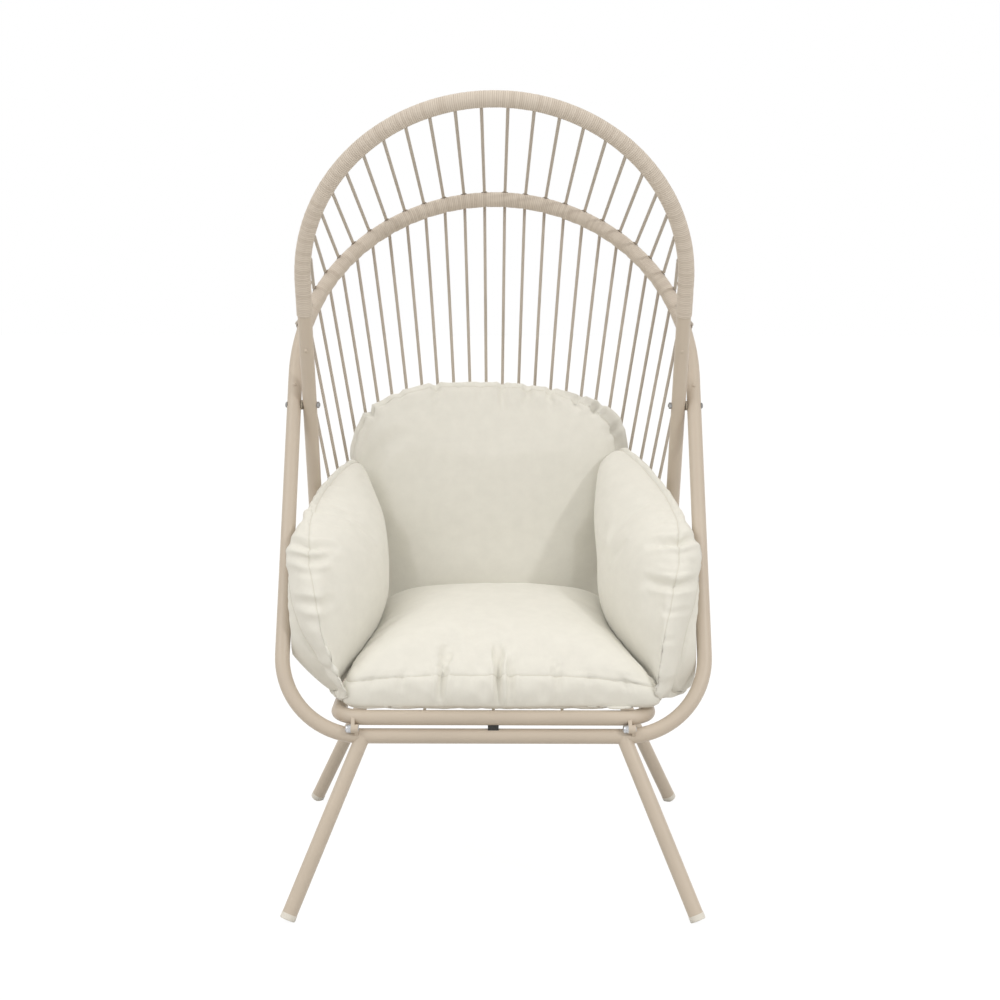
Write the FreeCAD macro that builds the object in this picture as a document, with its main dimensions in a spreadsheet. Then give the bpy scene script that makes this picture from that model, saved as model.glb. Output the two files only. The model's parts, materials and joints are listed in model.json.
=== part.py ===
import FreeCAD, Part

import math
import os

import Sketcher

# Standing egg chair: two bent steel hoops cross at the sides like a pair of scissors.
# The outer hoop runs from the front bar up to the rear arch, and the inner hoop from the
# rear bar up to the hood arch. Cords are strung from the hood arch over the rear arch
# down to the rear bar. A seat ring is bolted to both bars and holds the hoops open, four
# legs push into stub sockets, and one sewn cushion with a seat, a back and two arms lies inside.
#
# Frame: +X to the right as seen from the front, -Y the way the sitter faces, +Z up.
# The origin is on the floor, straight below the two crossing bolts.

doc = FreeCAD.newDocument("EggChair")

SIZES = [
    ("tube_dia", 25.0, "outside diameter of hoop, ring, socket and leg tubes"),
    ("tube_wall", 1.5, "wall of those tubes"),
    ("hoop_lean", 26.0, "lean of each hoop from upright, in degrees"),
    ("bar_height", 285.0, "floor to the middle of the front and rear bars"),
    ("cross_height", 817.0, "floor to the crossing bolts"),
    ("outer_half", 356.0, "middle of the chair to the side tube of the outer hoop"),
    ("spacer_thick", 3.0, "spacer between the two hoops at the crossing"),
    ("spacer_dia", 17.0, "diameter of that spacer"),
    ("hoop_bend", 138.0, "bend radius at the lower corners of the hoops"),
    ("rear_shoulder", 58.0, "crossing bolt to where the rear arch starts to bend, along the lean"),
    ("hood_shoulder", 245.0, "crossing bolt to where the hood arch starts to bend, along the lean"),
    ("rear_joint", 50.0, "crossing bolt to the tube joint of the outer hoop"),
    ("hood_joint", 132.0, "crossing bolt to the tube joint of the inner hoop"),
    ("spigot_length", 40.0, "reduced tube end that slides into the next tube"),
    ("fit_gap", 0.2, "play all round a pushed-in tube end"),
    ("screw_drop", 16.0, "tube joint down to its screw"),
    ("screw_dia", 3.5, "shank of the joint screws"),
    ("screw_head", 7.0, "head of the joint screws"),
    ("wrap_thick", 1.6, "thickness of the cord wound round the tubes"),
    ("rear_wrap", 470.0, "crown to the end of the winding on the rear arch, along the tube"),
    ("hood_wrap", 178.0, "crossing bolt to the end of the winding on the hood arch"),
    ("bar_wrap", 262.0, "half length of the winding on the rear bar, along the tube"),
    ("cord_dia", 5.0, "diameter of the strung cords"),
    ("cord_count", 26, "number of strung cords"),
    ("hood_pitch", 45.0, "spacing of the cords along the hood arch"),
    ("rear_pitch", 37.0, "spacing of the cords along the rear arch"),
    ("bar_pitch", 20.0, "spacing of the cords along the rear bar"),
    ("cord_tail", 5.0, "a run of cord goes on this far past the tube it bears on"),
    ("ring_half", 260.0, "half width of the seat ring, to the tube's middle"),
    ("ring_bend", 50.0, "bend radius of the ring's corners"),
    ("ring_rise", 31.0, "bars to the ring, middle to middle"),
    ("ring_setback", 14.0, "the ring's rear tube lies this far in front of the rear bar"),
    ("rod_dia", 5.0, "diameter of the seat rods"),
    ("rod_pitch", 116.0, "spacing of the seat rods"),
    ("front_lug_inset", 31.0, "side of the ring in to a front pair of lugs"),
    ("rear_lug_inset", 80.0, "side of the ring in to a rear pair of lugs"),
    ("lug_thick", 6.0, "thickness of a lug"),
    ("lug_eye", 7.2, "outside radius of a lug's eye"),
    ("lug_reach", 20.8, "tube's middle to the seat bolt"),
    ("seat_bolt_dia", 8.0, "shank of the seat bolts"),
    ("seat_head_dia", 14.0, "domed head of the seat bolts"),
    ("seat_head_height", 7.5, "height of that head"),
    ("washer_dia", 15.6, "washer under that head"),
    ("washer_thick", 1.6, "thickness of that washer"),
    ("hex_key", 5.0, "hexagon recess across the flats"),
    ("cross_bolt_dia", 6.0, "shank of the crossing bolts"),
    ("cross_head_dia", 11.0, "domed head of the crossing bolts"),
    ("cross_head_height", 3.2, "height of that head"),
    ("cross_nut_flats", 10.0, "crossing nut across the flats"),
    ("cross_nut_height", 4.5, "height of the crossing nut"),
    ("hole_gap", 0.4, "bolt hole over bolt, on the diameter"),
    ("front_leg_inset", 140.0, "side of the outer hoop in to the top of a front leg's line"),
    ("front_splay", 119.0, "a front leg runs this far outwards from bar to floor"),
    ("rear_leg_inset", 107.0, "side of the inner hoop in to the top of a rear leg's line"),
    ("rear_splay", 134.0, "a rear leg runs this far outwards from bar to floor"),
    ("foot_reach", 86.5, "feet stand this far outside the bars, front and rear"),
    ("socket_length", 48.0, "bar's middle to the seam under a leg socket, along the leg"),
    ("leg_spigot", 30.0, "reduced leg end inside its socket"),
    ("foot_rise", 3.6, "end face of a foot cap above the floor, at the leg's line"),
    ("cap_collar", 10.0, "visible collar of a foot cap"),
    ("cap_plug", 20.0, "plug of a foot cap inside the leg"),
    ("cap_dia", 26.0, "diameter of a foot cap"),
    ("buffer_length", 18.0, "rubber buffer between ring and front bar"),
    ("buffer_depth", 12.0, "depth of that buffer, front to back"),
    ("seat_clear", 0.4, "ring up to the underside of the cushion"),
]

sheet = doc.addObject("Spreadsheet::Sheet", "Sizes")
for row, (alias, value, note) in enumerate(SIZES, start=1):
    sheet.set(f"A{row}", alias)
    sheet.set(f"B{row}", str(value))
    sheet.set(f"C{row}", note)
    sheet.setAlias(f"B{row}", alias)
doc.recompute()


def size(alias):
    return float(sheet.get(alias))


def value(expression):
    return float(sheet.evalExpression(expression))


# Places that follow from the sizes

V = FreeCAD.Vector
X_AXIS = V(1, 0, 0)
LEAN = math.radians(size("hoop_lean"))
HALF_BASE = (size("cross_height") - size("bar_height")) * math.tan(LEAN)
CROSS_RISE = (size("cross_height") - size("bar_height")) / math.cos(LEAN)
TUBE_R = size("tube_dia") / 2
WRAP_R = TUBE_R + size("wrap_thick")
CORD_R = size("cord_dia") / 2
RING_Z = size("bar_height") + size("ring_rise")
RING_REAR = HALF_BASE - size("ring_setback")

HALF_BASE_EXPR = "(Sizes.cross_height - Sizes.bar_height) * tan(Sizes.hoop_lean * 1deg)"
CROSS_RISE_EXPR = "(Sizes.cross_height - Sizes.bar_height) / cos(Sizes.hoop_lean * 1deg)"
OUTER_HALF_EXPR = "Sizes.outer_half"
INNER_HALF_EXPR = "(Sizes.outer_half - Sizes.tube_dia - Sizes.spacer_thick)"
TUBE_OUT = "Sizes.tube_dia / 2"
TUBE_BORE = "(Sizes.tube_dia / 2 - Sizes.tube_wall)"
SPIGOT_OUT = "(Sizes.tube_dia / 2 - Sizes.tube_wall - Sizes.fit_gap)"
SPIGOT_BORE = "(Sizes.tube_dia / 2 - 2 * Sizes.tube_wall - Sizes.fit_gap)"
INNER_HALF = value(INNER_HALF_EXPR)
REAR_RISE_EXPR = f"({CROSS_RISE_EXPR} + Sizes.rear_shoulder + {OUTER_HALF_EXPR})"
HOOD_RISE_EXPR = f"({CROSS_RISE_EXPR} + Sizes.hood_shoulder + {INNER_HALF_EXPR})"


class Hoop:
    """A hoop's own plane: x across, u up along the lean from the middle of its bottom bar."""

    def __init__(self, half, rise, side):
        self.half = half
        self.rise = rise
        self.foot = V(0, side * HALF_BASE, size("bar_height"))
        self.up = V(0, -side * math.sin(LEAN), math.cos(LEAN))
        self.front = X_AXIS.cross(self.up)

    def point(self, x, u):
        return self.foot + V(x, 0, 0) + self.up * u

    def arch(self, run):
        """Place and direction of the tube's middle line, a run along it from the crown."""
        turn = min(abs(run) / self.half, math.pi / 2)
        past = max(0.0, abs(run) - self.half * math.pi / 2)
        sign = 1 if run >= 0 else -1
        spring = self.rise - self.half
        here = self.point(sign * self.half * math.sin(turn), spring + self.half * math.cos(turn) - past)
        along = V(sign * math.cos(turn), 0, 0) - self.up * math.sin(turn)
        return here, along

    def bar(self, run):
        """Place and direction of the tube's middle line, a run along it from the bar's middle."""
        bend = size("hoop_bend")
        straight = self.half - bend
        sign = 1 if run >= 0 else -1
        turn = max(0.0, abs(run) - straight) / bend
        across = min(abs(run), straight) + bend * math.sin(turn)
        here = self.point(sign * across, bend * (1 - math.cos(turn)))
        along = V(sign * math.cos(turn), 0, 0) + self.up * math.sin(turn)
        return here, along

    def bar_at(self, x):
        """Place of the tube's middle line at a distance x from the chair's middle."""
        bend = size("hoop_bend")
        past = max(0.0, abs(x) - (self.half - bend))
        return self.point(x, bend - math.sqrt(bend ** 2 - past ** 2))


outer = Hoop(size("outer_half"), value(REAR_RISE_EXPR), -1)
inner = Hoop(INNER_HALF, value(HOOD_RISE_EXPR), 1)


# Helpers for bodies, sketches and their dimensions

def new_body(label):
    body = doc.addObject("PartDesign::Body", label)
    body.Label = label
    return body


def plane_of(body, role):
    return next(f for f in body.Origin.OriginFeatures if f.Role == role)


def new_sketch(body, name, role, shift=None):
    sketch = body.newObject("Sketcher::SketchObject", name)
    sketch.AttachmentSupport = [(plane_of(body, role), "")]
    sketch.MapMode = "FlatFace"
    for axis, expression in (shift or {}).items():
        sketch.setExpression(f"AttachmentOffset.Base.{axis}", expression)
    sketch.Visibility = False
    return sketch


def bound(sketch, name, expression, *constraint):
    """Adds a dimension, names it and ties it to the sheet."""
    index = sketch.addConstraint(Sketcher.Constraint(*constraint, value(expression)))
    sketch.renameConstraint(index, name)
    sketch.setExpression(f"Constraints.{name}", expression)


def segment(x0, y0, x1, y1):
    return Part.LineSegment(V(x0, y0, 0), V(x1, y1, 0))


def arc(cx, cy, radius, start, end):
    circle = Part.Circle(V(cx, cy, 0), V(0, 0, 1), radius)
    return Part.ArcOfCircle(circle, math.radians(start), math.radians(end))


def join(sketch, kind, ends):
    for first, first_end, second, second_end in ends:
        sketch.addConstraint(Sketcher.Constraint(kind, first, first_end, second, second_end))


def place_point(sketch, tag, line, x_expr, y_expr):
    """Ties the start point of a line to a place given by two expressions."""
    for kind, expression, axis in (("DistanceX", x_expr, -2), ("DistanceY", y_expr, -1)):
        if expression == "0":
            sketch.addConstraint(Sketcher.Constraint("PointOnObject", line, 1, axis))
        else:
            bound(sketch, f"{tag}{kind[-1]}", expression, kind, -1, 1, line, 1)


def polygon(sketch, points):
    spots = [(value(x), value(y)) for x, y in points]
    for start, end in zip(spots, spots[1:] + spots[:1]):
        sketch.addGeometry(segment(*start, *end))
    count = len(points)
    join(sketch, "Coincident", [(n, 2, (n + 1) % count, 1) for n in range(count)])
    for n, (x_expr, y_expr) in enumerate(points):
        place_point(sketch, f"p{n}", n, x_expr, y_expr)


def rounded(sketch, left, right, low, high, radius):
    """A rectangle with four equal rounded corners, between four expressions."""
    x0, x1, y0, y1, r = (value(e) for e in (left, right, low, high, radius))
    sketch.addGeometry(segment(x0 + r, y0, x1 - r, y0))
    sketch.addGeometry(arc(x1 - r, y0 + r, r, 270, 360))
    sketch.addGeometry(segment(x1, y0 + r, x1, y1 - r))
    sketch.addGeometry(arc(x1 - r, y1 - r, r, 0, 90))
    sketch.addGeometry(segment(x1 - r, y1, x0 + r, y1))
    sketch.addGeometry(arc(x0 + r, y1 - r, r, 90, 180))
    sketch.addGeometry(segment(x0, y1 - r, x0, y0 + r))
    sketch.addGeometry(arc(x0 + r, y0 + r, r, 180, 270))
    join(sketch, "Tangent", [(n, 2, (n + 1) % 8, 1) for n in range(8)])
    for line, kind in ((0, "Horizontal"), (2, "Vertical"), (4, "Horizontal"), (6, "Vertical")):
        sketch.addConstraint(Sketcher.Constraint(kind, line))
    for corner in (3, 5, 7):
        sketch.addConstraint(Sketcher.Constraint("Equal", 1, corner))
    bound(sketch, "radius", radius, "Radius", 1)
    bound(sketch, "left", left, "DistanceX", -1, 1, 6, 1)
    bound(sketch, "right", right, "DistanceX", -1, 1, 2, 1)
    bound(sketch, "low", low, "DistanceY", -1, 1, 0, 1)
    bound(sketch, "high", high, "DistanceY", -1, 1, 4, 1)


def swollen(sketch, left, right, low, high, radius, bows):
    """The rounded rectangle, with sides 2, 4 or 6 (right, top, left) bowed outwards by so much."""
    x0, x1, y0, y1, r = (value(f"{v}") for v in (left, right, low, high, radius))
    sides = (
        ((x0 + r, y0), (x1 - r, y0), (0, -1)),
        ((x1, y0 + r), (x1, y1 - r), (1, 0)),
        ((x1 - r, y1), (x0 + r, y1), (0, 1)),
        ((x0, y1 - r), (x0, y0 + r), (-1, 0)),
    )
    centres = ((x1 - r, y0 + r, 270), (x1 - r, y1 - r, 0), (x0 + r, y1 - r, 90), (x0 + r, y0 + r, 180))
    for number, (start, end, out) in enumerate(sides):
        bow = bows.get(2 * number, 0)
        if bow:
            top = [(start[k] + end[k]) / 2 + out[k] * bow for k in (0, 1)]
            sketch.addGeometry(Part.Arc(V(*start, 0), V(*top, 0), V(*end, 0)))
        else:
            sketch.addGeometry(segment(*start, *end))
        cx, cy, turn = centres[number]
        sketch.addGeometry(arc(cx, cy, r, turn, turn + 90))
    for n in range(8):
        side = n if n % 2 == 0 else (n + 1) % 8
        joined = (n, 2, (n + 1) % 8, 1)
        if not bows.get(side):
            join(sketch, "Tangent", [joined])
            continue
        join(sketch, "Coincident", [joined])
        corner = (n, 2) if n % 2 else ((n + 1) % 8, 1)
        level = "Vertical" if side % 4 == 0 else "Horizontal"
        sketch.addConstraint(Sketcher.Constraint(level, corner[0], 3, corner[0], corner[1]))
    for side in (0, 2, 4, 6):
        kind = "Vertical" if side % 4 else "Horizontal"
        ends = (side, 1, side, 2) if bows.get(side) else (side,)
        sketch.addConstraint(Sketcher.Constraint(kind, *ends))
    for corner in (3, 5, 7):
        sketch.addConstraint(Sketcher.Constraint("Equal", 1, corner))
    bound(sketch, "radius", f"{radius}", "Radius", 1)
    bound(sketch, "left", f"{left}", "DistanceX", -1, 1, 6, 1)
    bound(sketch, "right", f"{right}", "DistanceX", -1, 1, 2, 1)
    bound(sketch, "low", f"{low}", "DistanceY", -1, 1, 0, 1)
    bound(sketch, "high", f"{high}", "DistanceY", -1, 1, 4, 1)
    for side, bow in bows.items():
        span = (high - low if side % 4 else right - left) / 2 - radius
        bound(sketch, f"bow{side}", f"({span} ^ 2 + {bow} ^ 2) / (2 * {bow})", "Radius", side)


def discs(sketch, *diameters):
    """Circles about the sketch's own origin."""
    for index, expression in enumerate(diameters):
        sketch.addGeometry(Part.Circle(V(0, 0, 0), V(0, 0, 1), value(expression) / 2))
        sketch.addConstraint(Sketcher.Constraint("Coincident", index, 3, -1, 1))
        bound(sketch, f"disc{index}", expression, "Diameter", index)


def pipe(body, profile, path, kind="PartDesign::AdditivePipe"):
    made = body.newObject(kind, profile.Label + "_pipe")
    made.Profile = profile
    made.Spine = (path, [f"Edge{n + 1}" for n in range(path.GeometryCount)])
    return made


def revolve(body, sketch, name):
    made = body.newObject("PartDesign::Revolution", name)
    made.Profile = sketch
    made.ReferenceAxis = (sketch, ["V_Axis"])
    made.Angle = 360
    return made


def lean_body(body, side):
    """Leans a body that was drawn upright, and stands it on its bottom bar."""
    body.Placement = FreeCAD.Placement(V(0, 0, 0), FreeCAD.Rotation(X_AXIS, side * size("hoop_lean")))
    body.setExpression("Placement.Rotation.Angle", f"{'-' if side < 0 else ''}Sizes.hoop_lean * 1deg")
    body.setExpression("Placement.Base.y", f"{side} * {HALF_BASE_EXPR}")
    body.setExpression("Placement.Base.z", "Sizes.bar_height")


def facing(direction, base):
    """Placement that stands local Z along a direction."""
    return FreeCAD.Placement(base, FreeCAD.Rotation(V(0, 0, 1), direction))


def turned(label, points, placement):
    body = new_body(label)
    profile = new_sketch(body, label + "_profile", "XZ_Plane")
    polygon(profile, points)
    revolve(body, profile, label + "_turned")
    body.Placement = placement
    return body


def cut(label, base, *tools):
    for index, tool in enumerate(tools):
        made = doc.addObject("Part::Cut", f"{label}_cut{index}")
        made.Base = base
        made.Tool = tool
        base = made
    base.Label = label
    return base


def group(label, members):
    made = doc.addObject("Part::Compound", label)
    made.Label = label
    made.Links = members
    return made


nodes = []


# Lower tubes of the two hoops: each one U-shaped bend, drilled for crossing bolt and joint screws.
# A filled copy of each serves to cope what is welded to it.

def u_path(body, half_expr, end_expr):
    path = new_sketch(body, body.Label + "_path", "XZ_Plane")
    half = value(half_expr)
    top = value(end_expr)
    bend = size("hoop_bend")
    path.addGeometry(segment(-half, top, -half, bend))
    path.addGeometry(arc(bend - half, bend, bend, 180, 270))
    path.addGeometry(segment(bend - half, 0, half - bend, 0))
    path.addGeometry(arc(half - bend, bend, bend, 270, 360))
    path.addGeometry(segment(half, bend, half, top))
    join(path, "Tangent", ((0, 2, 1, 1), (1, 2, 2, 1), (2, 2, 3, 1), (3, 2, 4, 1)))
    path.addConstraint(Sketcher.Constraint("Vertical", 0))
    path.addConstraint(Sketcher.Constraint("Horizontal", 2))
    path.addConstraint(Sketcher.Constraint("Vertical", 4))
    path.addConstraint(Sketcher.Constraint("PointOnObject", 2, 1, -1))
    path.addConstraint(Sketcher.Constraint("Symmetric", 0, 1, 4, 2, -2))
    path.addConstraint(Sketcher.Constraint("Equal", 1, 3))
    bound(path, "bend", "Sizes.hoop_bend", "Radius", 1)
    bound(path, "half", half_expr, "DistanceX", -1, 1, 4, 2)
    bound(path, "top", end_expr, "DistanceY", -1, 1, 4, 2)
    return path


def screw_holes(body, half_expr, joint_expr):
    """Holes for the joint screws, through the front wall only."""
    holes = new_sketch(body, body.Label + "_screw_holes", "XZ_Plane")
    rise_expr = f"{CROSS_RISE_EXPR} + {joint_expr} - Sizes.screw_drop"
    for index, sign in enumerate((1, -1)):
        centre = V(sign * value(half_expr), value(rise_expr), 0)
        holes.addGeometry(Part.Circle(centre, V(0, 0, 1), size("screw_dia") / 2))
        bound(holes, f"bore{index}", "Sizes.screw_dia", "Diameter", index)
    holes.addConstraint(Sketcher.Constraint("Symmetric", 0, 3, 1, 3, -2))
    bound(holes, "half", half_expr, "DistanceX", -1, 1, 0, 3)
    bound(holes, "rise", rise_expr, "DistanceY", -1, 1, 0, 3)
    pocket = body.newObject("PartDesign::Pocket", body.Label + "_screw_pocket")
    pocket.Profile = holes
    pocket.Reversed = True
    pocket.setExpression("Length", "Sizes.tube_dia")


def lower_tube(label, half_expr, joint_expr, side, filled=False):
    body = new_body(label)
    end_expr = f"{CROSS_RISE_EXPR} + {joint_expr}"
    path = u_path(body, half_expr, end_expr)
    shift = {"x": f"-{half_expr}", "z": end_expr}
    section = new_sketch(body, label + "_section", "XY_Plane", shift)
    discs(section, "Sizes.tube_dia", *([] if filled else ["Sizes.tube_dia - 2 * Sizes.tube_wall"]))
    pipe(body, section, path)
    if not filled:
        hole = new_sketch(body, label + "_bolt_hole", "YZ_Plane", {"y": CROSS_RISE_EXPR})
        discs(hole, "Sizes.cross_bolt_dia + Sizes.hole_gap")
        drill = body.newObject("PartDesign::Pocket", label + "_bolt_pocket")
        drill.Profile = hole
        drill.Midplane = True
        drill.Type = 1
        screw_holes(body, half_expr, joint_expr)
    lean_body(body, side)
    return body


nodes.append(lower_tube("outer_loop_tube", OUTER_HALF_EXPR, "Sizes.rear_joint", -1))
nodes.append(lower_tube("inner_loop_tube", INNER_HALF_EXPR, "Sizes.hood_joint", 1))
outer_core = lower_tube("outer_core", OUTER_HALF_EXPR, "Sizes.rear_joint", -1, filled=True)
inner_core = lower_tube("inner_core", INNER_HALF_EXPR, "Sizes.hood_joint", 1, filled=True)


# Arches: the upper half of each hoop, with reduced ends that slide into the lower tube

def arch_path(body, half_expr, rise_expr, start_expr):
    path = new_sketch(body, body.Label + "_path", "XZ_Plane")
    half = value(half_expr)
    start = value(start_expr)
    spring = value(rise_expr) - half
    path.addGeometry(segment(-half, start, -half, spring))
    path.addGeometry(arc(0, spring, half, 0, 180))
    path.addGeometry(segment(half, spring, half, start))
    join(path, "Tangent", ((0, 2, 1, 2), (1, 1, 2, 1)))
    path.addConstraint(Sketcher.Constraint("Vertical", 0))
    path.addConstraint(Sketcher.Constraint("Vertical", 2))
    path.addConstraint(Sketcher.Constraint("Symmetric", 0, 1, 2, 2, -2))
    bound(path, "half", half_expr, "DistanceX", -1, 1, 2, 2)
    bound(path, "spring", f"{rise_expr} - {half_expr}", "DistanceY", -1, 1, 1, 3)
    bound(path, "start", start_expr, "DistanceY", -1, 1, 2, 2)
    return path


def bent_over(label, half_expr, rise_expr, start_expr, out_expr, bore_expr):
    """A tube or sleeve that follows an arch from side to side."""
    body = new_body(label)
    path = arch_path(body, half_expr, rise_expr, start_expr)
    section = new_sketch(body, label + "_section", "XY_Plane", {"x": f"-{half_expr}", "z": start_expr})
    discs(section, out_expr, bore_expr)
    pipe(body, section, path)
    return body


SWAGED_NECK = [
    (SPIGOT_BORE, "-Sizes.spigot_length"),
    (SPIGOT_OUT, "-Sizes.spigot_length"),
    (SPIGOT_OUT, "0"),
    (TUBE_OUT, "0"),
    (TUBE_OUT, "3 * Sizes.tube_wall"),
    (TUBE_BORE, "3 * Sizes.tube_wall"),
    (SPIGOT_BORE, "Sizes.tube_wall"),
]


def arch_tube(label, half_expr, rise_expr, joint_expr, side):
    start_expr = f"{CROSS_RISE_EXPR} + {joint_expr}"
    bore_expr = "Sizes.tube_dia - 2 * Sizes.tube_wall"
    body = bent_over(label, half_expr, rise_expr, start_expr, "Sizes.tube_dia", bore_expr)
    for tag, sign in (("left", "-"), ("right", "")):
        shift = {"x": f"{sign}{half_expr}", "y": start_expr}
        neck = new_sketch(body, f"{label}_{tag}_neck", "XZ_Plane", shift)
        polygon(neck, SWAGED_NECK)
        revolve(body, neck, f"{label}_{tag}_swaged")
    screw_holes(body, half_expr, joint_expr)
    lean_body(body, side)
    return body


nodes.append(arch_tube("rear_arch_tube", OUTER_HALF_EXPR, REAR_RISE_EXPR, "Sizes.rear_joint", -1))
nodes.append(arch_tube("hood_arch_tube", INNER_HALF_EXPR, HOOD_RISE_EXPR, "Sizes.hood_joint", 1))


# Windings: thin cord laid turn against turn round both arches and round the rear bar

WRAP_DIA = "(Sizes.tube_dia + 2 * Sizes.wrap_thick)"

hood_wrap = bent_over("hood_arch_wrap", INNER_HALF_EXPR, HOOD_RISE_EXPR,
                      f"{CROSS_RISE_EXPR} + Sizes.hood_wrap", WRAP_DIA, "Sizes.tube_dia")
lean_body(hood_wrap, 1)
nodes.append(hood_wrap)


def curled_sleeve(body, name, shift, centre_expr, angle_expr, both_ways=False, reverse=False):
    """A bent length of winding, turned about an axis that runs from front to back."""
    section = new_sketch(body, name + "_section", "YZ_Plane", shift)
    for index, dia_expr in enumerate((WRAP_DIA, "Sizes.tube_dia")):
        centre = V(0, value(centre_expr), 0)
        section.addGeometry(Part.Circle(centre, V(0, 0, 1), value(dia_expr) / 2))
        section.addConstraint(Sketcher.Constraint("PointOnObject", index, 3, -2))
        bound(section, f"centre{index}", centre_expr, "DistanceY", -1, 1, index, 3)
        bound(section, f"disc{index}", dia_expr, "Diameter", index)
    made = body.newObject("PartDesign::Revolution", name)
    made.Profile = section
    made.ReferenceAxis = (section, ["H_Axis"])
    made.Midplane = both_ways
    made.Reversed = reverse
    made.setExpression("Angle", angle_expr)
    return made


rear_wrap = new_body("rear_arch_wrap")
curled_sleeve(rear_wrap, "rear_winding", {"y": f"{REAR_RISE_EXPR} - {OUTER_HALF_EXPR}"},
              "Sizes.outer_half", "2 * Sizes.rear_wrap / Sizes.outer_half * 180 / pi", both_ways=True)
lean_body(rear_wrap, -1)
nodes.append(rear_wrap)

STRAIGHT_EXPR = f"({INNER_HALF_EXPR} - Sizes.hoop_bend)"
bar_wrap = new_body("rear_bar_wound")
straight_winding = new_sketch(bar_wrap, "straight_winding", "YZ_Plane")
discs(straight_winding, WRAP_DIA, "Sizes.tube_dia")
winding_pad = bar_wrap.newObject("PartDesign::Pad", "straight_winding_pad")
winding_pad.Profile = straight_winding
winding_pad.Midplane = True
winding_pad.setExpression("Length", f"2 * {STRAIGHT_EXPR}")
for tag, sign in (("left", "-"), ("right", "")):
    curled_sleeve(bar_wrap, f"{tag}_winding", {"y": "Sizes.hoop_bend", "z": f"{sign}{STRAIGHT_EXPR}"},
                  "-Sizes.hoop_bend", f"(Sizes.bar_wrap - {STRAIGHT_EXPR}) / Sizes.hoop_bend * 180 / pi",
                  reverse=(tag == "right"))
lean_body(bar_wrap, 1)


# Legs: each tube pushes up into a socket that is coped and welded under a bar, and stands on
# a plastic cap whose low edge is moulded flat for the floor

SOCKET = [
    (TUBE_BORE, "0"),
    (TUBE_OUT, "0"),
    (TUBE_OUT, "Sizes.socket_length"),
    (TUBE_BORE, "Sizes.socket_length"),
]

PLUG_OUT = f"({TUBE_BORE} - Sizes.fit_gap)"
CAP = [
    ("0", "0"),
    ("Sizes.cap_dia / 2 - 1", "0"),
    ("Sizes.cap_dia / 2", "1"),
    ("Sizes.cap_dia / 2", "Sizes.cap_collar"),
    (PLUG_OUT, "Sizes.cap_collar"),
    (PLUG_OUT, "Sizes.cap_collar + Sizes.cap_plug"),
    (f"{PLUG_OUT} - 2", "Sizes.cap_collar + Sizes.cap_plug"),
    (f"{PLUG_OUT} - 2", "3"),
    ("0", "3"),
]


def leg_profile(length):
    return [
        (TUBE_BORE, "0"),
        (TUBE_OUT, "0"),
        (TUBE_OUT, f"{length}"),
        (SPIGOT_OUT, f"{length}"),
        (SPIGOT_OUT, f"{length} + Sizes.leg_spigot"),
        (SPIGOT_BORE, f"{length} + Sizes.leg_spigot"),
        (SPIGOT_BORE, f"{length} - Sizes.tube_wall"),
        (TUBE_BORE, f"{length} - 3 * Sizes.tube_wall"),
    ]


floor_block = doc.addObject("Part::Box", "below_floor")
floor_side = 3 * size("outer_half")
floor_block.Length = floor_side
floor_block.Width = floor_side
floor_block.Height = 4 * size("tube_dia")
floor_block.Placement.Base = V(-floor_side / 2, -floor_side / 2, -4 * size("tube_dia"))

sockets = []
socket_cores = []
for end, hoop, core in (("front", outer, outer_core), ("rear", inner, inner_core)):
    for side, sign in (("left", -1), ("right", 1)):
        tag = f"{end}_{side}"
        top_half = hoop.half - size(f"{end}_leg_inset")
        top = hoop.bar_at(sign * top_half)
        reach = math.copysign(HALF_BASE + size("foot_reach"), hoop.foot.y)
        floor_point = V(sign * (top_half + size(f"{end}_splay")), reach, 0)
        fall = (top - floor_point).normalize()
        heel = floor_point + fall * (size("foot_rise") / fall.z)
        reach_up = (top - heel).Length
        seam = top - fall * size("socket_length")
        leg_start = heel + fall * size("cap_collar")
        leg_length = reach_up - size("socket_length") - size("cap_collar")
        blank = turned(f"socket_blank_{tag}", SOCKET, facing(fall, seam))
        sockets.append(cut(f"leg_socket_{tag}", blank, core))
        nodes.append(sockets[-1])
        nodes.append(turned(f"leg_{tag}", leg_profile(leg_length), facing(fall, leg_start)))
        cap = turned(f"cap_blank_{tag}", CAP, facing(fall, heel))
        nodes.append(cut(f"foot_cap_{tag}", cap, floor_block))
        if end == "rear":
            room = doc.addObject("Part::Cylinder", f"socket_room_{tag}")
            room.setExpression("Radius", "Sizes.tube_dia / 2 + Sizes.fit_gap")
            room.Height = size("socket_length")
            room.Placement = facing(fall, seam)
            socket_cores.append(room)


# Seat ring: one closed loop of tube, with three rods across it

def closed_ring(label, filled=False):
    body = new_body(label)
    path = new_sketch(body, label + "_path", "XY_Plane")
    rounded(path, "-Sizes.ring_half", "Sizes.ring_half", f"-{HALF_BASE_EXPR}",
            f"{HALF_BASE_EXPR} - Sizes.ring_setback", "Sizes.ring_bend")
    shift = {"x": f"-{HALF_BASE_EXPR}", "z": "-Sizes.ring_half + Sizes.ring_bend"}
    section = new_sketch(body, label + "_section", "YZ_Plane", shift)
    discs(section, "Sizes.tube_dia")
    pipe(body, section, path)
    if not filled:
        bore = new_sketch(body, label + "_bore", "YZ_Plane", shift)
        discs(bore, "Sizes.tube_dia - 2 * Sizes.tube_wall")
        pipe(body, bore, path, "PartDesign::SubtractivePipe")
    body.setExpression("Placement.Base.z", "Sizes.bar_height + Sizes.ring_rise")
    return body


seat_ring = closed_ring("seat_ring")
ring_core = closed_ring("ring_core", filled=True)
nodes.append(seat_ring)

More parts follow.
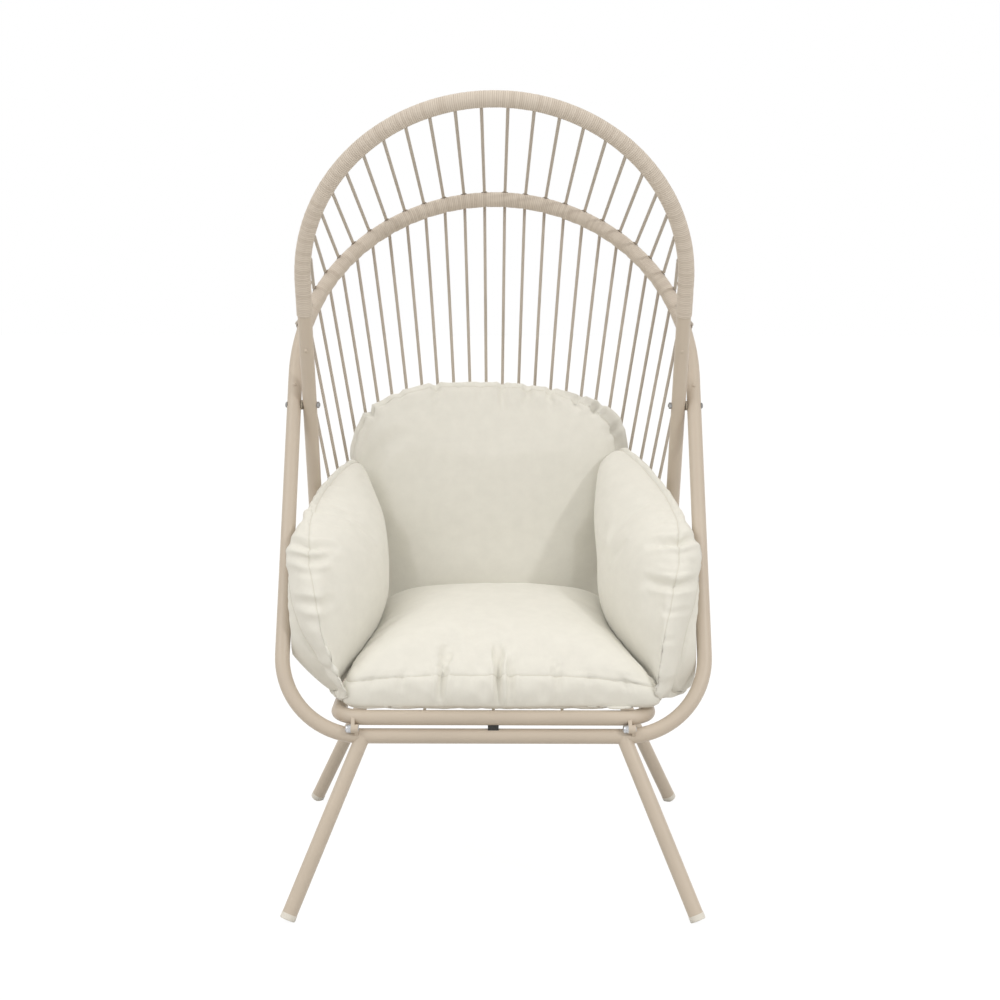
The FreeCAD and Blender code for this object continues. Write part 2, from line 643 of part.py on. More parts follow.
rods = []
for index in (-1, 0, 1):
    rod = doc.addObject("Part::Cylinder", f"seat_rod_{index + 2}")
    rod.setExpression("Radius", "Sizes.rod_dia / 2")
    rod.setExpression("Height", f"2 * {HALF_BASE_EXPR} - Sizes.ring_setback - Sizes.tube_dia")
    rod.Placement = facing(V(0, 1, 0), V(index * size("rod_pitch"), TUBE_R - HALF_BASE, RING_Z))
    rods.append(rod)
nodes.append(group("seat_rods", rods))


# Seat fixings: a lug on the ring and a lug on the bar lie side by side at each of four places,
# and a domed socket-head bolt passes through the first into the thread of the second

def lug(label, bore_expr):
    """A flat eye on a tongue that is long enough to be coped to its tube."""
    body = new_body(label)
    face = new_sketch(body, label + "_face", "YZ_Plane")
    eye = size("lug_eye")
    reach = size("lug_reach")
    face.addGeometry(arc(0, 0, eye, 0, 180))
    face.addGeometry(segment(-eye, 0, -eye, -reach))
    face.addGeometry(arc(0, -reach, eye, 180, 360))
    face.addGeometry(segment(eye, -reach, eye, 0))
    join(face, "Tangent", ((0, 2, 1, 1), (1, 2, 2, 1), (2, 2, 3, 1), (3, 2, 0, 1)))
    face.addConstraint(Sketcher.Constraint("Coincident", 0, 3, -1, 1))
    face.addConstraint(Sketcher.Constraint("PointOnObject", 2, 3, -2))
    bound(face, "eye", "Sizes.lug_eye", "Radius", 0)
    bound(face, "reach", "-Sizes.lug_reach", "DistanceY", -1, 1, 2, 3)
    face.addGeometry(Part.Circle(V(0, 0, 0), V(0, 0, 1), value(bore_expr) / 2))
    face.addConstraint(Sketcher.Constraint("Coincident", 4, 3, -1, 1))
    bound(face, "bore", bore_expr, "Diameter", 4)
    plate = body.newObject("PartDesign::Pad", label + "_plate")
    plate.Profile = face
    plate.setExpression("Length", "Sizes.lug_thick")
    return body


SEAT_BOLT = [
    ("0", "-Sizes.washer_thick - 2 * Sizes.lug_thick - 1"),
    ("Sizes.seat_bolt_dia / 2", "-Sizes.washer_thick - 2 * Sizes.lug_thick - 1"),
    ("Sizes.seat_bolt_dia / 2", "0"),
    ("Sizes.seat_head_dia / 2", "0"),
    ("Sizes.seat_head_dia / 2", "Sizes.seat_head_height * 0.5"),
    ("Sizes.seat_head_dia * 0.43", "Sizes.seat_head_height * 0.82"),
    ("Sizes.seat_head_dia * 0.3", "Sizes.seat_head_height"),
    ("0", "Sizes.seat_head_height"),
]

CROSS_GRIP = "(2 * Sizes.tube_dia + Sizes.spacer_thick + Sizes.cross_nut_height + 1.5)"
CROSS_BOLT = [
    ("0", f"-{CROSS_GRIP}"),
    ("Sizes.cross_bolt_dia / 2", f"-{CROSS_GRIP}"),
    ("Sizes.cross_bolt_dia / 2", "0"),
    ("Sizes.cross_head_dia / 2", "0"),
    ("Sizes.cross_head_dia / 2", "Sizes.cross_head_height * 0.3"),
    ("Sizes.cross_head_dia * 0.38", "Sizes.cross_head_height * 0.8"),
    ("Sizes.cross_head_dia * 0.25", "Sizes.cross_head_height"),
    ("0", "Sizes.cross_head_height"),
]


def keyed_bolt(label, profile, head_expr, key_expr, placement):
    """A turned bolt with a hexagon recess sunk into its head."""
    body = turned(label, profile, placement)
    recess = body.newObject("PartDesign::SubtractivePrism", label + "_recess")
    recess.Polygon = 6
    recess.setExpression("Circumradius", f"{key_expr} / 2 / cos(30deg)")
    recess.setExpression("Height", f"{head_expr} * 0.6")
    recess.setExpression("AttachmentOffset.Base.z", f"{head_expr} * 0.4")
    recess.AttachmentSupport = [(plane_of(body, "XY_Plane"), "")]
    recess.MapMode = "FlatFace"
    return body


def washer(label, inside_expr, outside_expr, thick_expr, placement):
    profile = [
        (f"{inside_expr} / 2", "0"),
        (f"{outside_expr} / 2", "0"),
        (f"{outside_expr} / 2", thick_expr),
        (f"{inside_expr} / 2", thick_expr),
    ]
    return turned(label, profile, placement)


seat_bolts = []
seat_washers = []
lug_rooms = []
for end, hoop, core in (("front", outer, outer_core), ("rear", inner, inner_core)):
    for side, sign in (("left", -1), ("right", 1)):
        tag = f"{end}_{side}"
        split = sign * (size("ring_half") - size(f"{end}_lug_inset"))
        bar = hoop.foot
        ring = V(0, -HALF_BASE if end == "front" else RING_REAR, RING_Z)
        between = (ring - bar) * 0.5
        forward = between.cross(X_AXIS).normalize() * -1
        if forward.y > 0:
            forward = forward * -1
        axis = bar + between + forward * math.sqrt(size("lug_reach") ** 2 - between.Length ** 2)
        for name, target, cope, shift, bore in (
            ("bar_lug", bar, core, 0, "Sizes.seat_bolt_dia"),
            ("ring_lug", ring, ring_core, -size("lug_thick"), "Sizes.seat_bolt_dia + Sizes.hole_gap"),
        ):
            down = target - axis
            tilt = FreeCAD.Rotation(V(0, 0, -1), down)
            blank = lug(f"{name}_blank_{tag}", bore)
            blank.Placement = FreeCAD.Placement(V(split + shift, axis.y, axis.z), tilt)
            nodes.append(cut(f"{name}_{tag}", blank, cope))
        face = split - size("lug_thick")
        spot = V(face, axis.y, axis.z)
        seat_washers.append(washer(f"seat_washer_{tag}", "(Sizes.seat_bolt_dia + Sizes.hole_gap)",
                                   "Sizes.washer_dia", "Sizes.washer_thick", facing(V(-1, 0, 0), spot)))
        under_head = spot - V(size("washer_thick"), 0, 0)
        seat_bolts.append(keyed_bolt(f"seat_bolt_{tag}", SEAT_BOLT, "Sizes.seat_head_height",
                                     "Sizes.hex_key", facing(V(-1, 0, 0), under_head)))
        if end == "rear":
            room = doc.addObject("Part::Box", f"lug_room_{tag}")
            room.Length = 2 * size("lug_thick") + size("washer_thick") + size("seat_head_height") + 3
            room.Width = 3 * size("lug_reach")
            room.Height = 3 * size("lug_reach")
            left_end = split - size("lug_thick") - size("washer_thick") - size("seat_head_height") - 1.5
            room.Placement.Base = V(left_end, bar.y - 3 * size("lug_reach"), bar.z - 2)
            lug_rooms.append(room)
nodes.append(group("seat_bolts", seat_bolts))
nodes.append(group("seat_washers", seat_washers))

nodes.append(cut("rear_bar_wrap", bar_wrap, *socket_cores, *lug_rooms))


# Crossing of the hoops: one bolt, one spacer and one nut on each side

cross_bolts = []
cross_spacers = []
cross_nuts = []
for side, sign in (("left", -1), ("right", 1)):
    outward = V(sign, 0, 0)
    under_head = V(0, 0, size("cross_height")) + outward * (size("outer_half") + TUBE_R)
    cross_bolts.append(keyed_bolt(f"cross_bolt_{side}", CROSS_BOLT, "Sizes.cross_head_height",
                                  "4", facing(outward, under_head)))
    spacer_face = V(0, 0, size("cross_height")) + outward * (INNER_HALF + TUBE_R)
    cross_spacers.append(washer(f"cross_spacer_{side}", "(Sizes.cross_bolt_dia + Sizes.hole_gap)",
                                "Sizes.spacer_dia", "Sizes.spacer_thick", facing(outward, spacer_face)))
    nut = new_body(f"cross_nut_{side}")
    prism = nut.newObject("PartDesign::AdditivePrism", f"cross_nut_{side}_prism")
    prism.Polygon = 6
    prism.setExpression("Circumradius", "Sizes.cross_nut_flats / 2 / cos(30deg)")
    prism.setExpression("Height", "Sizes.cross_nut_height")
    bore = nut.newObject("PartDesign::SubtractiveCylinder", f"cross_nut_{side}_bore")
    bore.setExpression("Radius", "Sizes.cross_bolt_dia / 2")
    bore.setExpression("Height", "Sizes.cross_nut_height")
    nut_face = V(0, 0, size("cross_height")) + outward * (INNER_HALF - TUBE_R)
    nut.Placement = facing(outward * -1, nut_face)
    cross_nuts.append(nut)
nodes.append(group("crossing_bolts", cross_bolts))
nodes.append(group("crossing_spacers", cross_spacers))
nodes.append(group("crossing_nuts", cross_nuts))

JOINT_SCREW = [
    ("0", "-2.5 * Sizes.tube_wall"),
    ("Sizes.screw_dia / 2", "-2.5 * Sizes.tube_wall"),
    ("Sizes.screw_dia / 2", "0"),
    ("Sizes.screw_head / 2", "0"),
    ("Sizes.screw_head / 2", "0.7"),
    ("Sizes.screw_head / 4", "1.9"),
    ("0", "2.2"),
]

joint_screws = []
for tag, hoop, joint in (("rear", outer, "rear_joint"), ("hood", inner, "hood_joint")):
    for side, sign in (("left", -1), ("right", 1)):
        rise = CROSS_RISE + size(joint) - size("screw_drop")
        seat = hoop.point(sign * hoop.half, rise) + hoop.front * TUBE_R
        joint_screws.append(turned(f"joint_screw_{tag}_{side}", JOINT_SCREW, facing(hoop.front, seat)))
nodes.append(group("joint_screws", joint_screws))


# Rubber buffer that keeps the ring off the front bar

buffer_block = doc.addObject("Part::Box", "buffer_block")
buffer_block.setExpression("Length", "Sizes.buffer_length")
buffer_block.setExpression("Width", "Sizes.buffer_depth")
buffer_block.setExpression("Height", "Sizes.ring_rise")
buffer_base = V(-size("buffer_length") / 2, -HALF_BASE - size("buffer_depth") / 2, size("bar_height"))
buffer_block.Placement.Base = buffer_base
nodes.append(cut("centre_buffer", buffer_block, outer_core, ring_core))


# Strung cords: each runs straight from under the hood arch to the top of the rear arch, passes
# behind it, and runs straight down behind the rear bar

def bearing(place, along, run, side_hint, radius):
    """Offset from a tube's middle line to a cord that lies against the tube."""
    normal = along.cross(run).normalize()
    if normal.dot(side_hint) < 0:
        normal = normal * -1
    return normal * radius


def strung(first, last, first_hint, last_hint):
    """A straight cord that bears on two tubes, each given by place and direction."""
    radius = WRAP_R + CORD_R + 0.05
    run = last[0] - first[0]
    for _ in range(4):
        start = first[0] + bearing(*first, run, first_hint, radius)
        end = last[0] + bearing(*last, run, last_hint, radius)
        run = end - start
    heading = (end - start).normalize()
    start = start - heading * size("cord_tail")
    end = end + heading * size("cord_tail")
    return Part.makeCylinder(CORD_R, (end - start).Length, start, heading)


def cord_node(label, shapes):
    made = doc.addObject("Part::Feature", label)
    made.Label = label
    made.Shape = Part.makeCompound(shapes)
    return made


hood_runs = []
back_runs = []
count = int(size("cord_count"))
for index in range(count):
    step = index - (count - 1) / 2
    hood = inner.arch(step * size("hood_pitch"))
    rear = outer.arch(step * size("rear_pitch"))
    low = inner.bar(step * size("bar_pitch"))
    hood_centre = inner.point(0, inner.rise - inner.half)
    rear_centre = outer.point(0, outer.rise - outer.half)
    inward = hood_centre - hood[0]
    outward = rear[0] - rear_centre
    hood_runs.append(strung(hood, rear, inward, outward))
    back_runs.append(strung(rear, low, V(0, 1, 0), V(0, 1, 0)))
nodes.append(cord_node("hood_cords", hood_runs))
nodes.append(cord_node("back_cords", back_runs))


# Cushion: seat, back and two arms of one sewn unit, each drawn as sections of a padded form

def loft(body, sketches):
    made = body.newObject("PartDesign::AdditiveLoft", body.Label + "_loft")
    made.Profile = sketches[0]
    made.Sections = sketches[1:]
    made.Ruled = True
    return body


# The sections are as cut for a chair of these proportions; on any other they stretch with it
CUT_HALF = 356.0
CUT_CROSSING = 532.0
WIDE = size("outer_half") / CUT_HALF
TALL = (size("cross_height") - size("bar_height")) / CUT_CROSSING
SEAT_LOW = TUBE_R + size("seat_clear")


def height_at(above_ring):
    """Height over the floor of a place on the cushion, given above the seat ring's middle line."""
    return RING_Z + max(SEAT_LOW, above_ring * TALL)


def padded(label, sections, side):
    """Sections from front to back: y, left, right, low, high, corner radius, and one side's swell."""
    body = new_body(label)
    sketches = []
    for number, (station, left, right, low, high, corner, swell) in enumerate(sections):
        sketch = new_sketch(body, f"{label}_section{number}", "XZ_Plane", {"z": f"{-station * TALL}"})
        limits = (left * WIDE, right * WIDE, height_at(low), height_at(high), corner * min(WIDE, TALL))
        swollen(sketch, *limits, {side: swell * min(WIDE, TALL)})
        sketches.append(sketch)
    return loft(body, sketches)


def bowed(label, sections):
    """Bowed sections from the bottom up: z, half width, front and rear at the side, and at the middle."""
    body = new_body(label)
    sketches = []
    for number, (above_ring, half, *depths) in enumerate(sections):
        half = half * WIDE
        side_front, side_rear, front, rear = (depth * TALL for depth in depths)
        sketch = new_sketch(body, f"{label}_section{number}", "XY_Plane", {"z": f"{height_at(above_ring)}"})
        corners = (V(-half, side_front, 0), V(half, side_front, 0), V(half, side_rear, 0), V(-half, side_rear, 0))
        sketch.addGeometry(Part.Arc(corners[0], V(0, front, 0), corners[1]))
        sketch.addGeometry(Part.LineSegment(corners[1], corners[2]))
        sketch.addGeometry(Part.Arc(corners[2], V(0, rear, 0), corners[3]))
        sketch.addGeometry(Part.LineSegment(corners[3], corners[0]))
        join(sketch, "Coincident", ((0, 2, 1, 1), (1, 2, 2, 1), (2, 2, 3, 1), (3, 2, 0, 1)))
        for line in (1, 3):
            sketch.addConstraint(Sketcher.Constraint("Vertical", line))
        for curve in (0, 2):
            sketch.addConstraint(Sketcher.Constraint("PointOnObject", curve, 3, -2))
        bound(sketch, "half", f"{half}", "DistanceX", -1, 1, 1, 1)
        bound(sketch, "side_front", f"{side_front}", "DistanceY", -1, 1, 1, 1)
        bound(sketch, "side_rear", f"{side_rear}", "DistanceY", -1, 1, 1, 2)
        for name, curve, bow in (("front_bow", 0, side_front - front), ("rear_bow", 2, rear - side_rear)):
            bound(sketch, name, f"({half} ^ 2 + {bow} ^ 2) / (2 * {bow})", "Radius", curve)
        sketches.append(sketch)
    return loft(body, sketches)


SEAT = [
    (-270, -232, 232, SEAT_LOW + 10, 60, 17, 3),
    (-256, -249, 249, SEAT_LOW, 72, 26, 10),
    (-200, -243.7, 243.7, SEAT_LOW, 92, 36, 30),
    (-130, -235.9, 235.9, SEAT_LOW, 108, 46, 36),
    (-40, -224, 224, SEAT_LOW, 117, 50, 38),
    (90, -208, 208, SEAT_LOW, 120, 50, 38),
    (120, -200, 200, SEAT_LOW + 4, 106, 42, 34),
]
BACK = [
    (SEAT_LOW, 198, 128, 236, 120.3, 248),
    (104, 208, 128, 240, 120.3, 252),
    (164, 214, 128, 232, 120.3, 249),
    (244, 222, 130, 214, 108, 243),
    (384, 256, 140, 186, 100, 232),
    (464, 240, 142, 182, 104, 224),
    (500, 204, 152, 190, 118, 218),
    (522, 158, 162, 192, 138, 210),
    (532, 122, 170, 192, 156, 204),
]
ARM = [
    (118, 205.5, 274, 134, 374, 24, 14),
    (90, 207.7, 292, 108, 390, 30, 22),
    (30, 215.1, 308, 56, 396, 38, 26),
    (-40, 223.7, 326, 34, 374, 44, 22),
    (-120, 234.9, 340, 32, 312, 46, 16),
    (-200, 243.9, 341, 36, 250, 44, 8),
    (-240, 248, 336, 46, 210, 38, 6),
    (-262, 261, 322, 70, 176, 24, 6),
]
RIGHT_SIDE = 2
TOP_SIDE = 4
LEFT_SIDE = 6

nodes.append(padded("cushion_seat", SEAT, TOP_SIDE))
nodes.append(bowed("cushion_back", BACK))
nodes.append(padded("cushion_right_arm", ARM, LEFT_SIDE))
MIRRORED_ARM = [(y, -right, -left, *rest) for y, left, right, *rest in ARM]
nodes.append(padded("cushion_left_arm", MIRRORED_ARM, RIGHT_SIDE))


doc.recompute()
for item in doc.Objects:
    if "Invalid" in item.State or "Error" in item.State:
        print("not built:", item.Label, item.State)

os.makedirs("parts", exist_ok=True)
for node in nodes:
    shape = node.Shape
    if shape.isNull() or not shape.isValid():
        print("bad shape:", node.Label)
        continue
    shape.exportStep(f"parts/{node.Label}.step")
    box = shape.optimalBoundingBox()
    spans = f"{box.XLength:.1f} x {box.YLength:.1f} x {box.ZLength:.1f}"
    print(f"{node.Label}: {len(shape.Solids)} solid(s), {spans} mm, {shape.Volume / 1000:.1f} cm3")
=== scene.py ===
# %% [markdown]
# # Standing egg chair
# The frame's solids are fixed and come in first. Everything soft or fine is built here around
# them: the wound cord on the tubes, the strung cords, the padded cushion, and every finish.
# All lengths are in metres. X runs across the chair, the sitter faces -Y, and Z is up.

import json
import math
import random

import bpy
import numpy as np
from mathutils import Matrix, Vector, noise
from mathutils.bvhtree import BVHTree


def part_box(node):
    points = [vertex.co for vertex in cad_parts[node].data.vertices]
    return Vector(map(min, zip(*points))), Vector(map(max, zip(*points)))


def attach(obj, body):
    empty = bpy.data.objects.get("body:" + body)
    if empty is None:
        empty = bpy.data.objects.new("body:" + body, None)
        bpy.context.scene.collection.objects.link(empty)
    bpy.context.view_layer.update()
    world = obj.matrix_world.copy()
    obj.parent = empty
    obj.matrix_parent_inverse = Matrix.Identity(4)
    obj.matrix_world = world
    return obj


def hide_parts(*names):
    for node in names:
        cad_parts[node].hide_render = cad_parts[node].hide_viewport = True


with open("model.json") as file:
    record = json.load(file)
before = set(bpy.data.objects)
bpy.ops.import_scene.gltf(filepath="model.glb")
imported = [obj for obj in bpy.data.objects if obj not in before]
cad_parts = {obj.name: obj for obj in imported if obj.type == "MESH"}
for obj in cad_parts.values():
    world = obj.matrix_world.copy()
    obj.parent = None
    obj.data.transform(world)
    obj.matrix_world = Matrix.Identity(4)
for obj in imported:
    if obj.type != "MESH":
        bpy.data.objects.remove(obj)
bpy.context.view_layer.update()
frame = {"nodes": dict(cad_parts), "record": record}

# %% [markdown]
# ## The two hoops
# The chair stands on two bent hoops that cross like scissors. Every winding and cord follows
# them, so their sizes are read back from the solids instead of being typed a second time:
# the lowest points of a hoop's tube give its bar, the widest its side tubes, the highest its
# crown, and the crossing bolts give the height of the crossing. A hoop is a flat figure in a
# leaning plane, so two numbers, across and up the lean, give any point on it.

# %% The hoops' own measures
TUBE_R = 0.0125
WRAP_R = 0.0141
CORD_R = 0.0025
HOOP_BEND = 0.138

bolt_low, bolt_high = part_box("crossing_bolts")
front_low, front_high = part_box("outer_loop_tube")
rear_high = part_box("inner_loop_tube")[1]
CROSS_Z = (bolt_low.z + bolt_high.z) / 2
BAR_Z = front_low.z + TUBE_R
HALF_BASE = -(front_low.y + TUBE_R)
LEAN = math.atan2(HALF_BASE, CROSS_Z - BAR_Z)
CROSS_RISE = (CROSS_Z - BAR_Z) / math.cos(LEAN)


def crown_rise(node):
    """Bar to crown along the lean, from the highest point of an arch's tube."""
    return (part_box(node)[1].z - TUBE_R - BAR_Z) / math.cos(LEAN)


class Hoop:
    def __init__(self, half, rise, side):
        self.half = half
        self.rise = rise
        self.foot = Vector((0, side * HALF_BASE, BAR_Z))
        self.up = Vector((0, -side * math.sin(LEAN), math.cos(LEAN)))
        self.front = Vector((1, 0, 0)).cross(self.up)

    def point(self, x, u):
        return self.foot + Vector((x, 0, 0)) + self.up * u

    def arch(self, run):
        """Place and direction of the tube's middle line, a run along it from the crown."""
        turn = min(abs(run) / self.half, math.pi / 2)
        past = max(0.0, abs(run) - self.half * math.pi / 2)
        sign = 1 if run >= 0 else -1
        spring = self.rise - self.half
        here = self.point(sign * self.half * math.sin(turn), spring + self.half * math.cos(turn) - past)
        return here, Vector((math.cos(turn), 0, 0)) - self.up * (sign * math.sin(turn))

    def bar(self, run):
        """The same, a run along the bottom bar from its middle."""
        straight = self.half - HOOP_BEND
        sign = 1 if run >= 0 else -1
        turn = max(0.0, abs(run) - straight) / HOOP_BEND
        across = min(abs(run), straight) + HOOP_BEND * math.sin(turn)
        here = self.point(sign * across, HOOP_BEND * (1 - math.cos(turn)))
        return here, Vector((math.cos(turn), 0, 0)) + self.up * (sign * math.sin(turn))


outer = Hoop(front_high.x - TUBE_R, crown_rise("rear_arch_tube"), -1)
inner = Hoop(rear_high.x - TUBE_R, crown_rise("hood_arch_tube"), 1)
print("lean", round(math.degrees(LEAN), 2), "halves", round(outer.half, 3), round(inner.half, 3),
      "rises", round(outer.rise, 3), round(inner.rise, 3))

# %% [markdown]
# ## Camera
# The photograph is taken from the front, a little above the seat, with a long lens. The camera
# stands 3.2 m in front of the crossing, tips down by a few degrees, and its picture is shifted
# slightly so that the chair sits in the frame as in the photograph. A fit of the hoops' edges
# gave the numbers.

# %% Set up the camera
CAMERA_PLACE = (0.003, -3.191, 1.039)
CAMERA_TILT = math.radians(4.29)
CAMERA_ROLL = -0.0023
SENSOR = 36.0
FOCAL_PIXELS = 1796.6
PICTURE_PIXELS = 1000
PICTURE_SHIFT = (0.0039, -0.085)

camera_data = bpy.data.cameras.new("camera")
camera_data.sensor_width = SENSOR
camera_data.lens = FOCAL_PIXELS / PICTURE_PIXELS * SENSOR
camera_data.shift_x, camera_data.shift_y = PICTURE_SHIFT
camera = bpy.data.objects.new("camera", camera_data)
camera.location = CAMERA_PLACE
camera.rotation_euler = (math.pi / 2 - CAMERA_TILT, CAMERA_ROLL, 0)
bpy.context.scene.collection.objects.link(camera)
bpy.context.scene.camera = camera
print("lens", round(camera_data.lens, 2), "mm")

# %% [markdown]
# ## Shader nodes
# The surround, the floor and every finish are made from the same few nodes. Each helper adds
# one of them, joins it up and gives back its output. A plain number or colour is set on the
# node's own socket. A finish works in the object's own metres, so a grain of one millimetre is
# one millimetre on every piece.


# %% Helpers for shader nodes
class Shading:
    """The nodes of a world or of a material."""

    def __init__(self, owner):
        owner.use_nodes = True
        self.nodes = owner.node_tree.nodes
        self.links = owner.node_tree.links

    def add(self, kind, values):
        """A node: outputs of other nodes are linked to its sockets, anything else is set."""
        made = self.nodes.new("ShaderNode" + kind)
        for socket, value in values.items():
            if isinstance(value, bpy.types.NodeSocket):
                self.links.new(value, made.inputs[socket])
            else:
                made.inputs[socket].default_value = value
        return made

    def math(self, operation, *values):
        made = self.add("Math", dict(enumerate(values)))
        made.operation = operation
        return made.outputs[0]

    def rescale(self, value, start, end, low, high):
        """The value, spread so that start to end becomes low to high."""
        return self.add("MapRange", {"Value": value, "From Min": start, "From Max": end,
                                     "To Min": low, "To Max": high}).outputs["Result"]

    def height(self, place):
        return self.add("SeparateXYZ", {0: place}).outputs["Z"]

    def mix(self, share, first, second):
        return self.add("MixShader", {0: share, 1: first, 2: second}).outputs[0]

    def seen_directly(self):
        """1 for rays from the camera, or reflected or let through; 0 for rays that light a surface."""
        path = self.add("LightPath", {}).outputs
        seen = self.math("MAXIMUM", path["Is Camera Ray"], path["Is Glossy Ray"])
        return self.math("MAXIMUM", seen, path["Is Transmission Ray"])


class Finish(Shading):
    """A material that starts from the shader's own sockets."""

    def __init__(self, name, color, roughness, **sockets):
        self.material = bpy.data.materials.new(name)
        super().__init__(self.material)
        self.shader = self.nodes["Principled BSDF"]
        self.shader.inputs["Base Color"].default_value = (*color, 1)
        self.shader.inputs["Roughness"].default_value = roughness
        for socket, value in sockets.items():
            self.shader.inputs[socket.replace("_", " ")].default_value = value
        self.place = self.add("TexCoord", {}).outputs["Object"]

    def drive(self, socket, source):
        self.links.new(source, self.shader.inputs[socket])

    def grain(self, scale, detail=2.0, rough=0.5):
        return self.add("TexNoise", {"Vector": self.place, "Scale": scale, "Detail": detail,
                                     "Roughness": rough}).outputs["Fac"]

    def kept(self, name):
        """A value that the mesh keeps for every point."""
        made = self.add("Attribute", {})
        made.attribute_name = name
        return made.outputs["Fac"]

    def tone(self, source, low, high, start=0.3, end=0.7):
        """A colour that runs from low to high as the source runs from start to end."""
        made = self.add("ValToRGB", {"Fac": source})
        for number, (position, color) in enumerate(((start, low), (end, high))):
            made.color_ramp.elements[number].position = position
            made.color_ramp.elements[number].color = (*color, 1)
        return made.outputs["Color"]

    def tint(self, source, color, low, high):
        """Drives the shader's colour from a darker to a lighter share of it."""
        self.drive("Base Color", self.tone(source, shade(color, low), shade(color, high)))

    def spread(self, source, low, high):
        """A grain, which runs from about 0.3 to 0.7, spread from low to high."""
        return self.rescale(source, 0.3, 0.7, low, high)

    def relief(self, height, depth, strength, below=None):
        """Bump of that depth in metres on the shader, on top of an earlier one if given."""
        values = {"Height": height, "Distance": depth, "Strength": strength}
        if below is not None:
            values["Normal"] = below
        bump = self.add("Bump", values).outputs["Normal"]
        self.drive("Normal", bump)
        return bump


def shade(color, factor):
    return tuple(c * factor for c in color)


# %% [markdown]
# ## Light, floor and backdrop
# A studio shot on white. A small key lamp from the upper right throws the right arm's shadow on
# the back pad, a large lamp fills from the upper left, and a weak one from behind edges the
# arches. The rest of the light is a warm surround, brighter overhead than near the floor. The
# white background is not more light: rays that come straight from the camera, or from a
# mirror-like reflection, see white, and all other rays see the surround. The floor is treated
# the same way, and keeps a soft trace of the chair's shadow.

# %% Surround and floor
SURROUND_TINT = (1.0, 0.968, 0.905, 1)
SURROUND_HIGH = 1.07
SURROUND_LOW = 0.29
FLOOR_REACH = 30.0
FLOOR_TINT = (0.64, 0.63, 0.61, 1)
FLOOR_GLOW = 1.14
GLOW_SHARE = 0.82

scene = bpy.context.scene
scene.view_settings.view_transform = "Standard"
scene.world = bpy.data.worlds.new("studio")
studio = Shading(scene.world)
surround = studio.nodes["Background"]
surround.inputs["Color"].default_value = SURROUND_TINT
heading = studio.height(studio.add("TexCoord", {}).outputs["Generated"])
studio.links.new(studio.rescale(heading, -0.1, 0.9, SURROUND_LOW, SURROUND_HIGH),
                 surround.inputs["Strength"])
white = studio.add("Background", {"Color": (1, 1, 1, 1)})
studio.links.new(studio.mix(studio.seen_directly(), surround.outputs[0], white.outputs[0]),
                 studio.nodes["World Output"].inputs["Surface"])

floor_mesh = bpy.data.meshes.new("studio_floor")
floor_corners = [(x * FLOOR_REACH, y * FLOOR_REACH, 0) for x, y in ((-1, -1), (1, -1), (1, 1), (-1, 1))]
floor_mesh.from_pydata(floor_corners, [], [(0, 1, 2, 3)])
floor = bpy.data.objects.new("studio_floor", floor_mesh)
scene.collection.objects.link(floor)
floor_paint = bpy.data.materials.new("pale_floor")
paint = Shading(floor_paint)
paint.nodes.remove(paint.nodes["Principled BSDF"])
matt = paint.add("BsdfDiffuse", {"Color": FLOOR_TINT})
glow = paint.add("Emission", {"Strength": FLOOR_GLOW})
share = paint.math("MULTIPLY", paint.seen_directly(), GLOW_SHARE)
paint.links.new(paint.mix(share, matt.outputs[0], glow.outputs[0]),
                paint.nodes["Material Output"].inputs["Surface"])
floor_mesh.materials.append(floor_paint)
print("floor and surround ready")


# %% Lamps
def soft_lamp(name, place, target, width, watts, tint):
    data = bpy.data.lights.new(name, "AREA")
    data.shape = "DISK"
    data.size = width
    data.energy = watts
    data.color = tint
    lamp = bpy.data.objects.new(name, data)
    lamp.location = place
    aim = Vector(target) - Vector(place)
    lamp.rotation_euler = aim.to_track_quat("-Z", "Y").to_euler()
    scene.collection.objects.link(lamp)


LAMP_TARGET = (0, 0, 0.6)
REAR_TARGET = (0, 0, 0.8)
soft_lamp("key_lamp", (2.2, -2.5, 2.3), LAMP_TARGET, 0.28, 23.5, (1.0, 0.992, 0.975))
soft_lamp("fill_lamp", (-2.8, -2.0, 2.9), LAMP_TARGET, 2.2, 30, (1.0, 0.995, 0.985))
soft_lamp("rear_lamp", (-0.6, 3.2, 2.8), REAR_TARGET, 2.4, 12, (1.0, 0.985, 0.96))
print("lamps ready")

# %% [markdown]
# ## Finishes
# ### Powder-coated steel
# The tubes are sprayed with beige powder and baked. Such a coat is satin, with a faint orange
# peel about 2 mm across and a fine grain on top, and its tone drifts a little along a tube. A
# thin clear coat is left out, since the photograph shows only broad soft highlights.

# %% Powder coat
POWDER_BEIGE = (0.615, 0.533, 0.444)
coat = Finish("powder_coat", POWDER_BEIGE, 0.42)
coat.tint(coat.grain(7.0), POWDER_BEIGE, 0.965, 1.03)
coat.drive("Roughness", coat.spread(coat.grain(60.0), 0.38, 0.48))
peeled = coat.relief(coat.grain(520.0, 1.0), 0.00012, 0.5)
coat.relief(coat.grain(2600.0, 1.0), 0.00003, 0.35, peeled)
print("powder coat", POWDER_BEIGE)

# %% [markdown]
# ### Fixings, caps and small plastics
# Seat bolts, washers and the inner hoop's joint screws are bright zinc, the crossing bolts a
# darker zinc. The outer hoop's joint screws lie lower and are painted over with their tube. The
# foot caps are off-white plastic, scuffed and greyed where they stand on the floor. The
# crossing spacers are beige nylon and the buffer black rubber.

# %% Small finishes
ZINC = (0.62, 0.63, 0.65)
DARK_ZINC = (0.40, 0.395, 0.39)
CAP_WHITE = (0.80, 0.77, 0.71)
BLACK = (0.028, 0.027, 0.026)
NYLON_BEIGE = (0.36, 0.31, 0.245)
SCUFF_HEIGHT = 0.010
PAINTED_BELOW = 0.92


